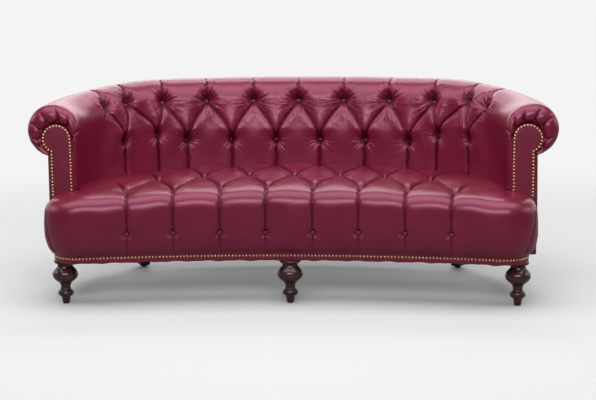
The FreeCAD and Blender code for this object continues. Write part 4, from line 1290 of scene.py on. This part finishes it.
def facing_outline():
    """Outline points as (n, z, middle n, middle z): up the inner side, round the head, down the outer."""
    start = -math.acos((stem_out - head_n) / facing_head_radius)
    points = []
    for k in range(inner_side_runs):
        z = facing_foot + (head_z - facing_foot) * k / inner_side_runs
        points.append((stem_in, z, stem_middle, max(z, facing_foot + middle_lift)))
    for k in range(head_runs + 1):
        angle = math.pi + (start - math.pi) * k / head_runs
        n = head_n + facing_head_radius * math.cos(angle)
        z = head_z + facing_head_radius * math.sin(angle)
        middle = stem_middle + (head_n - stem_middle) * middle_draw
        points.append((n, z, middle, min(head_z, z + middle_lift)))
    head_end = points[-1][1]
    for k in range(1, outer_side_runs + 1):
        z = head_end + (facing_foot - head_end) * k / outer_side_runs
        points.append((stem_out, z, stem_middle, max(z, facing_foot + middle_lift)))
    return points


# Rings of the padding: how far each is drawn in towards the middle, and how far it stands forward
facing_rings = [
    (0.0, 0.0), (0.0, 0.7), (0.03, 0.93), (0.08, 1.02), (0.2, 1.1), (0.45, 1.22), (0.7, 1.28), (0.9, 1.3),
]
outline = facing_outline()
count = len(outline)
facing_faces = grid_faces(len(facing_rings), count, wrap_columns=True)
facing_faces.append(tuple((len(facing_rings) - 1) * count + i for i in range(count)))
facing_faces.append(tuple(reversed(range(count))))
for side, name in ((-1, "arm_facing_left"), (1, "arm_facing_right")):
    vertices = []
    for shrink, rise in facing_rings:
        y = facing_back_y + (facing_front_y - facing_back_y) * rise
        for n, z, middle_n, middle_z in outline:
            x = side * (half_span + (n + (middle_n - n) * shrink))
            vertices.append((x, y, z + (middle_z - z) * shrink))
    facing = mesh_piece("padded_" + name, vertices, facing_faces, panel_hide, "panel_leather")
    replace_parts(facing, name)


# Outside back and arms: flat hide pulled smooth over the frame, from under the roll down to the base.
# It is tacked along both edges, and at the arm fronts it turns the corner under the facing.
panel_corner = 0.012
panel_straight = facing_back_y - arm_front_y + panel_corner
panel_return = 0.045
panel_end = arm_end - panel_straight + panel_corner * math.pi / 2 + panel_return
panel_rows = 24
panel_back_columns = 121
panel_arm_columns = 120
panel_overlap = 0.004
nose_overlap = 0.006
panel_fullness = 0.0012
panel_uneven = 0.0006
panel_uneven_rates = (9, 7)


def panel_top(height, radius, inset):
    return height - math.sqrt(radius ** 2 - (roll_inset + inset - panel_thickness) ** 2) + panel_overlap


def panel_station(s):
    """Plan point, outward way and top of the outside panel; past the arm's end it turns to the front."""
    past = abs(s) - arm_end
    if past <= 0:
        at, way, share = spine_point(s)
        return at, way, panel_top(roll_height(share), roll_radius, 0.0)
    side = math.copysign(1.0, s)
    run = min(past, -panel_straight)
    turn = max(past + panel_straight, 0.0) / panel_corner
    across = max(turn - math.pi / 2, 0.0) * panel_corner
    turn = min(turn, math.pi / 2)
    x = half_span - panel_corner * (1 - math.cos(turn)) - across
    y = arm_front_y - run - panel_corner * math.sin(turn)
    share = 1 - math.sqrt(max(1 - ((arm_front_y - y) / nose_swell) ** 2, 0.0))
    radius = roll_radius - (roll_radius - nose_radius) * share
    top = panel_top(roll_arm_height - nose_drop * share, radius, nose_inset * share)
    way = np.array([side * math.cos(turn), -math.sin(turn)])
    return np.array([side * x, y]), way, top + nose_overlap


def outside_panel(name, first, last, columns):
    grid = []
    for s in np.linspace(first, last, columns):
        at, way, top = panel_station(s)
        tall = top - leather_bottom
        section = []
        for k in range(panel_rows):
            share = k / (panel_rows - 1)
            z = leather_bottom + tall * share
            uneven = panel_uneven * math.sin(panel_uneven_rates[0] * s + panel_uneven_rates[1] * z)
            full = math.sin(math.pi * share) * (panel_fullness + uneven)
            section.append((*(at + way * full), z))
        for k in (panel_rows - 1, panel_rows // 2, 0):
            z = leather_bottom + tall * k / (panel_rows - 1)
            section.append((*(at - way * panel_thickness), z))
        grid.append(section)
    grid = np.array(grid).transpose(1, 0, 2)
    panel = sleeve_piece("smooth_" + name, grid, panel_hide, "panel_leather")
    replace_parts(panel, name)


outside_panel(
    "outside_back", -back_half_length, back_half_length, panel_back_columns,
)
outside_panel(
    "outside_arm_left", -panel_end, -back_half_length, panel_arm_columns,
)
outside_panel(
    "outside_arm_right", back_half_length, panel_end, panel_arm_columns,
)


# Dust cover: black woven cloth tacked up under the rails, cut out round the legs.
# It sags a little between the rails.
dust_cloth = make_cloth(
    "black_dust_cloth", dark=(0.006, 0.006, 0.006), light=(0.022, 0.022, 0.022), threads=260.0,
    thread_height=0.0003
)
dust_low, dust_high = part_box("dust_cover")
dust_inset = 0.012
dust_sag = 0.004
sag_from_rail = 3
sag_from_side = 2
dust_columns = 121
dust_rows = 41
leg_clearance = 0.004
leg_spots = []
for name in ("front_leg_left", "front_leg_middle", "front_leg_right", "rear_leg_left", "rear_leg_right"):
    low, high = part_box(name)
    leg_spots.append(((low.x + high.x) / 2, (low.y + high.y) / 2, (high.x - low.x) / 2 + leg_clearance))
dust_vertices = []
for j in range(dust_rows):
    run = j / (dust_rows - 1)
    from_rail = min(run, 1 - run)
    for s in np.linspace(-rim_length, rim_length, dust_columns):
        at, way = rim_point(s)
        front = at - way * dust_inset
        at, way, _ = spine_point(s / rim_length * arm_end)
        back = at - way * dust_inset
        from_side = 1 - abs(s) / rim_length
        inward = ease(min(from_rail * sag_from_rail, 1.0)) * ease(min(from_side * sag_from_side, 1.0))
        sag = dust_sag * inward
        dust_vertices.append((*(front + (back - front) * run), (dust_low.z + dust_high.z) / 2 - sag))
dust_faces = []
for face in grid_faces(dust_rows, dust_columns):
    middle = np.mean([dust_vertices[i][:2] for i in face], axis=0)
    if all(math.hypot(middle[0] - x, middle[1] - y) > reach for x, y, reach in leg_spots):
        dust_faces.append(face)
dust = mesh_piece("sewn_dust_cover", dust_vertices, dust_faces, dust_cloth, "dust_cloth")
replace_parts(dust, "dust_cover")


# Nails: antiqued brass domes, driven close together along the seat front, the facings and the base.
# Each sits where the CAD nail is, as a rounder dome.
brass = make_metal(
    "antique_brass", fleck_scale=220.0, fleck_detail=3.0, dark=(0.52, 0.33, 0.14), light=(0.84, 0.60, 0.32),
    tint_from=0.3, rough=(0.22, 0.45)
)
nail_segments = 14
nail_profile = [
    (0.0, -0.002), (0.0044, -0.002), (0.0047, -0.0004), (0.0048, 0.0004), (0.0044, 0.0014),
    (0.0036, 0.0023), (0.0024, 0.0029), (0.0011, 0.0032), (0.0, 0.0033),
]
same_point = 1e-6
same_level = 2e-4


def cad_domes(name):
    """Base centre and facing way of each dome in a CAD node."""
    shape = bmesh.new()
    shape.from_mesh(nodes[name].data)
    bmesh.ops.remove_doubles(shape, verts=shape.verts, dist=same_point)
    shape.verts.ensure_lookup_table()
    done = set()
    domes = []
    for seed in shape.verts:
        if seed.index in done:
            continue
        stack, members = [seed], []
        done.add(seed.index)
        while stack:
            vertex = stack.pop()
            members.append(np.array(vertex.co))
            for edge in vertex.link_edges:
                other = edge.other_vert(vertex)
                if other.index not in done:
                    done.add(other.index)
                    stack.append(other)
        points = np.array(members)
        offsets = points - points.mean(0)
        way = np.linalg.svd(offsets, full_matrices=False)[2][2]
        reach = offsets @ way
        if (reach > reach.max() - same_level).sum() > (reach < reach.min() + same_level).sum():
            way = -way
            reach = -reach
        rim = points[reach < reach.min() + same_level]
        domes.append(((rim.min(0) + rim.max(0)) / 2, way))
    shape.free()
    return domes


for name in ("front_nails", "facing_nails_left", "facing_nails_right", "base_nails"):
    domes = turned_set(nail_profile, cad_domes(name), nail_segments)
    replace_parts(mesh_piece("domed_" + name, *domes, brass, "nail_brass"), name)


# Studio: a wide pale floor that runs out into an even pale surround on every side.
# Soft boxes hang above, in front, behind and at the sides; a weak one under the seat keeps the shadow grey.
floor_half = 60.0
fade_start = 1.3
fade_end = 3.4
pale = (0.905, 0.905, 0.905, 1.0)
black = (0.0, 0.0, 0.0, 1.0)
floor_mesh = bpy.data.meshes.new("studio_floor")
floor_corners = [(x * floor_half, y * floor_half, 0.0) for x, y in ((-1, -1), (1, -1), (1, 1), (-1, 1))]
floor_mesh.from_pydata(floor_corners, [], [(0, 1, 2, 3)])
floor = bpy.data.objects.new("studio_floor", floor_mesh)
bpy.context.scene.collection.objects.link(floor)
floor_paint, tree, links = new_material("pale_floor")
floor_mesh.materials.append(floor_paint)
surface = tree["Principled BSDF"]
set_values(surface, {"Emission Strength": 1.0, "Roughness": 0.8, "Specular IOR Level": 0.0})
seen = add_node(tree, "LightPath")
place = add_node(tree, "TexCoord")
away = add_node(tree, "VectorMath", operation="LENGTH")
fade = add_node(
    tree, "MapRange", {"From Min": fade_start, "From Max": fade_end}, interpolation_type="SMOOTHSTEP"
)
seen_far = add_node(tree, "Math", operation="MULTIPLY")
near_tone = add_node(
    tree, "Mix", {"A": (0.27, 0.27, 0.27, 1.0), "B": (0.68, 0.68, 0.68, 1.0)}, data_type="RGBA"
)
floor_tone = add_node(tree, "Mix", {"B": black}, data_type="RGBA")
surround = add_node(tree, "Mix", {"A": black, "B": pale}, data_type="RGBA")
join(
    links,
    (place, "Object", away, 0),
    (away, "Value", fade, "Value"),
    (fade, "Result", seen_far, 0),
    (seen, "Is Camera Ray", seen_far, 1),
    (seen, "Is Camera Ray", near_tone, "Factor"),
    (near_tone, "Result", floor_tone, "A"),
    (seen_far, "Value", floor_tone, "Factor"),
    (seen_far, "Value", surround, "Factor"),
    (floor_tone, "Result", surface, "Base Color"),
    (surround, "Result", surface, "Emission Color"),
)
floor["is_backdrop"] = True


def softbox(name, place, target, width, depth, power):
    light = bpy.data.lights.new(name, "AREA")
    light.shape = "RECTANGLE"
    light.size = width
    light.size_y = depth
    light.energy = power
    lamp = bpy.data.objects.new(name, light)
    bpy.context.scene.collection.objects.link(lamp)
    lamp.location = place
    lamp.rotation_euler = (Vector(target) - Vector(place)).to_track_quat("-Z", "Y").to_euler()


softbox("overhead_softbox", (0.0, -0.7, 3.0), (0.0, -0.4, 0.3), width=5.5, depth=2.3, power=105)
softbox("rear_softbox", (0.0, 2.2, 3.2), (0.0, 0.0, 0.6), width=3.0, depth=1.0, power=34)
softbox("low_rear_softbox", (0.0, 4.2, 2.6), (0.0, 0.0, 0.6), width=6.0, depth=1.4, power=72)
softbox("front_softbox", (0.0, -6.5, 4.1), (0.0, 0.0, 0.5), width=6.0, depth=1.9, power=250)
softbox("left_softbox", (-5.0, 0.2, 2.4), (0.0, 0.0, 0.4), width=2.6, depth=1.6, power=25)
softbox("right_softbox", (5.0, 0.2, 2.4), (0.0, 0.0, 0.4), width=2.6, depth=1.6, power=25)
softbox("under_fill", (0.0, -0.05, 0.15), (0.0, -0.05, 0.0), width=1.7, depth=0.5, power=0.75)

# Surround: pale to the eye; the light it gives is dim, and brighter low down behind the sofa
world = bpy.data.worlds.new("studio")
bpy.context.scene.world = world
world.use_nodes = True
tree, links = world.node_tree.nodes, world.node_tree.links
sky = tree["Background"]
set_values(sky, {"Strength": 1.0})
seen = add_node(tree, "LightPath")
place = add_node(tree, "TexCoord")
way = add_node(tree, "SeparateXYZ")
behind = add_node(tree, "MapRange", {"From Min": 0.1, "From Max": 0.7})
low_down = add_node(tree, "MapRange", {"From Min": 0.15, "From Max": 0.5, "To Min": 1.0, "To Max": 0.0})
glow = add_node(tree, "Math", operation="MULTIPLY")
room = add_node(tree, "Mix", {"A": (0.13, 0.13, 0.13, 1.0), "B": (1.3, 1.3, 1.3, 1.0)}, data_type="RGBA")
sky_tone = add_node(tree, "Mix", {"B": pale}, data_type="RGBA")
join(
    links,
    (place, "Generated", way, "Vector"),
    (way, "Y", behind, "Value"),
    (way, "Z", low_down, "Value"),
    (behind, "Result", glow, 0),
    (low_down, "Result", glow, 1),
    (glow, "Value", room, "Factor"),
    (room, "Result", sky_tone, "A"),
    (seen, "Is Camera Ray", sky_tone, "Factor"),
    (sky_tone, "Result", sky, "Color"),
)

# Camera: where the photo was taken from
camera_place = Vector((0.4292, -6.682, 1.600))
camera_yaw = 0.06230
camera_pitch = -0.18420
camera_roll = -0.010378
level = math.cos(camera_pitch)
ahead = Vector((-math.sin(camera_yaw) * level, math.cos(camera_yaw) * level, math.sin(camera_pitch)))
right = Vector((math.cos(camera_yaw), math.sin(camera_yaw), 0.0))
upright = right.cross(ahead)
rolled_right = right * math.cos(camera_roll) + upright * math.sin(camera_roll)
rolled_upright = upright * math.cos(camera_roll) - right * math.sin(camera_roll)
lens = bpy.data.cameras.new("studio_camera")
lens.sensor_width = 36.0
lens.lens = 98.06
camera = bpy.data.objects.new("studio_camera", lens)
bpy.context.scene.collection.objects.link(camera)
camera.matrix_world = Matrix((
    (*rolled_right, 0.0), (*rolled_upright, 0.0), (*-ahead, 0.0), (*camera_place, 1.0),
)).transposed()
bpy.context.scene.camera = camera
bpy.context.scene.view_settings.view_transform = "Standard"

low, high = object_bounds()
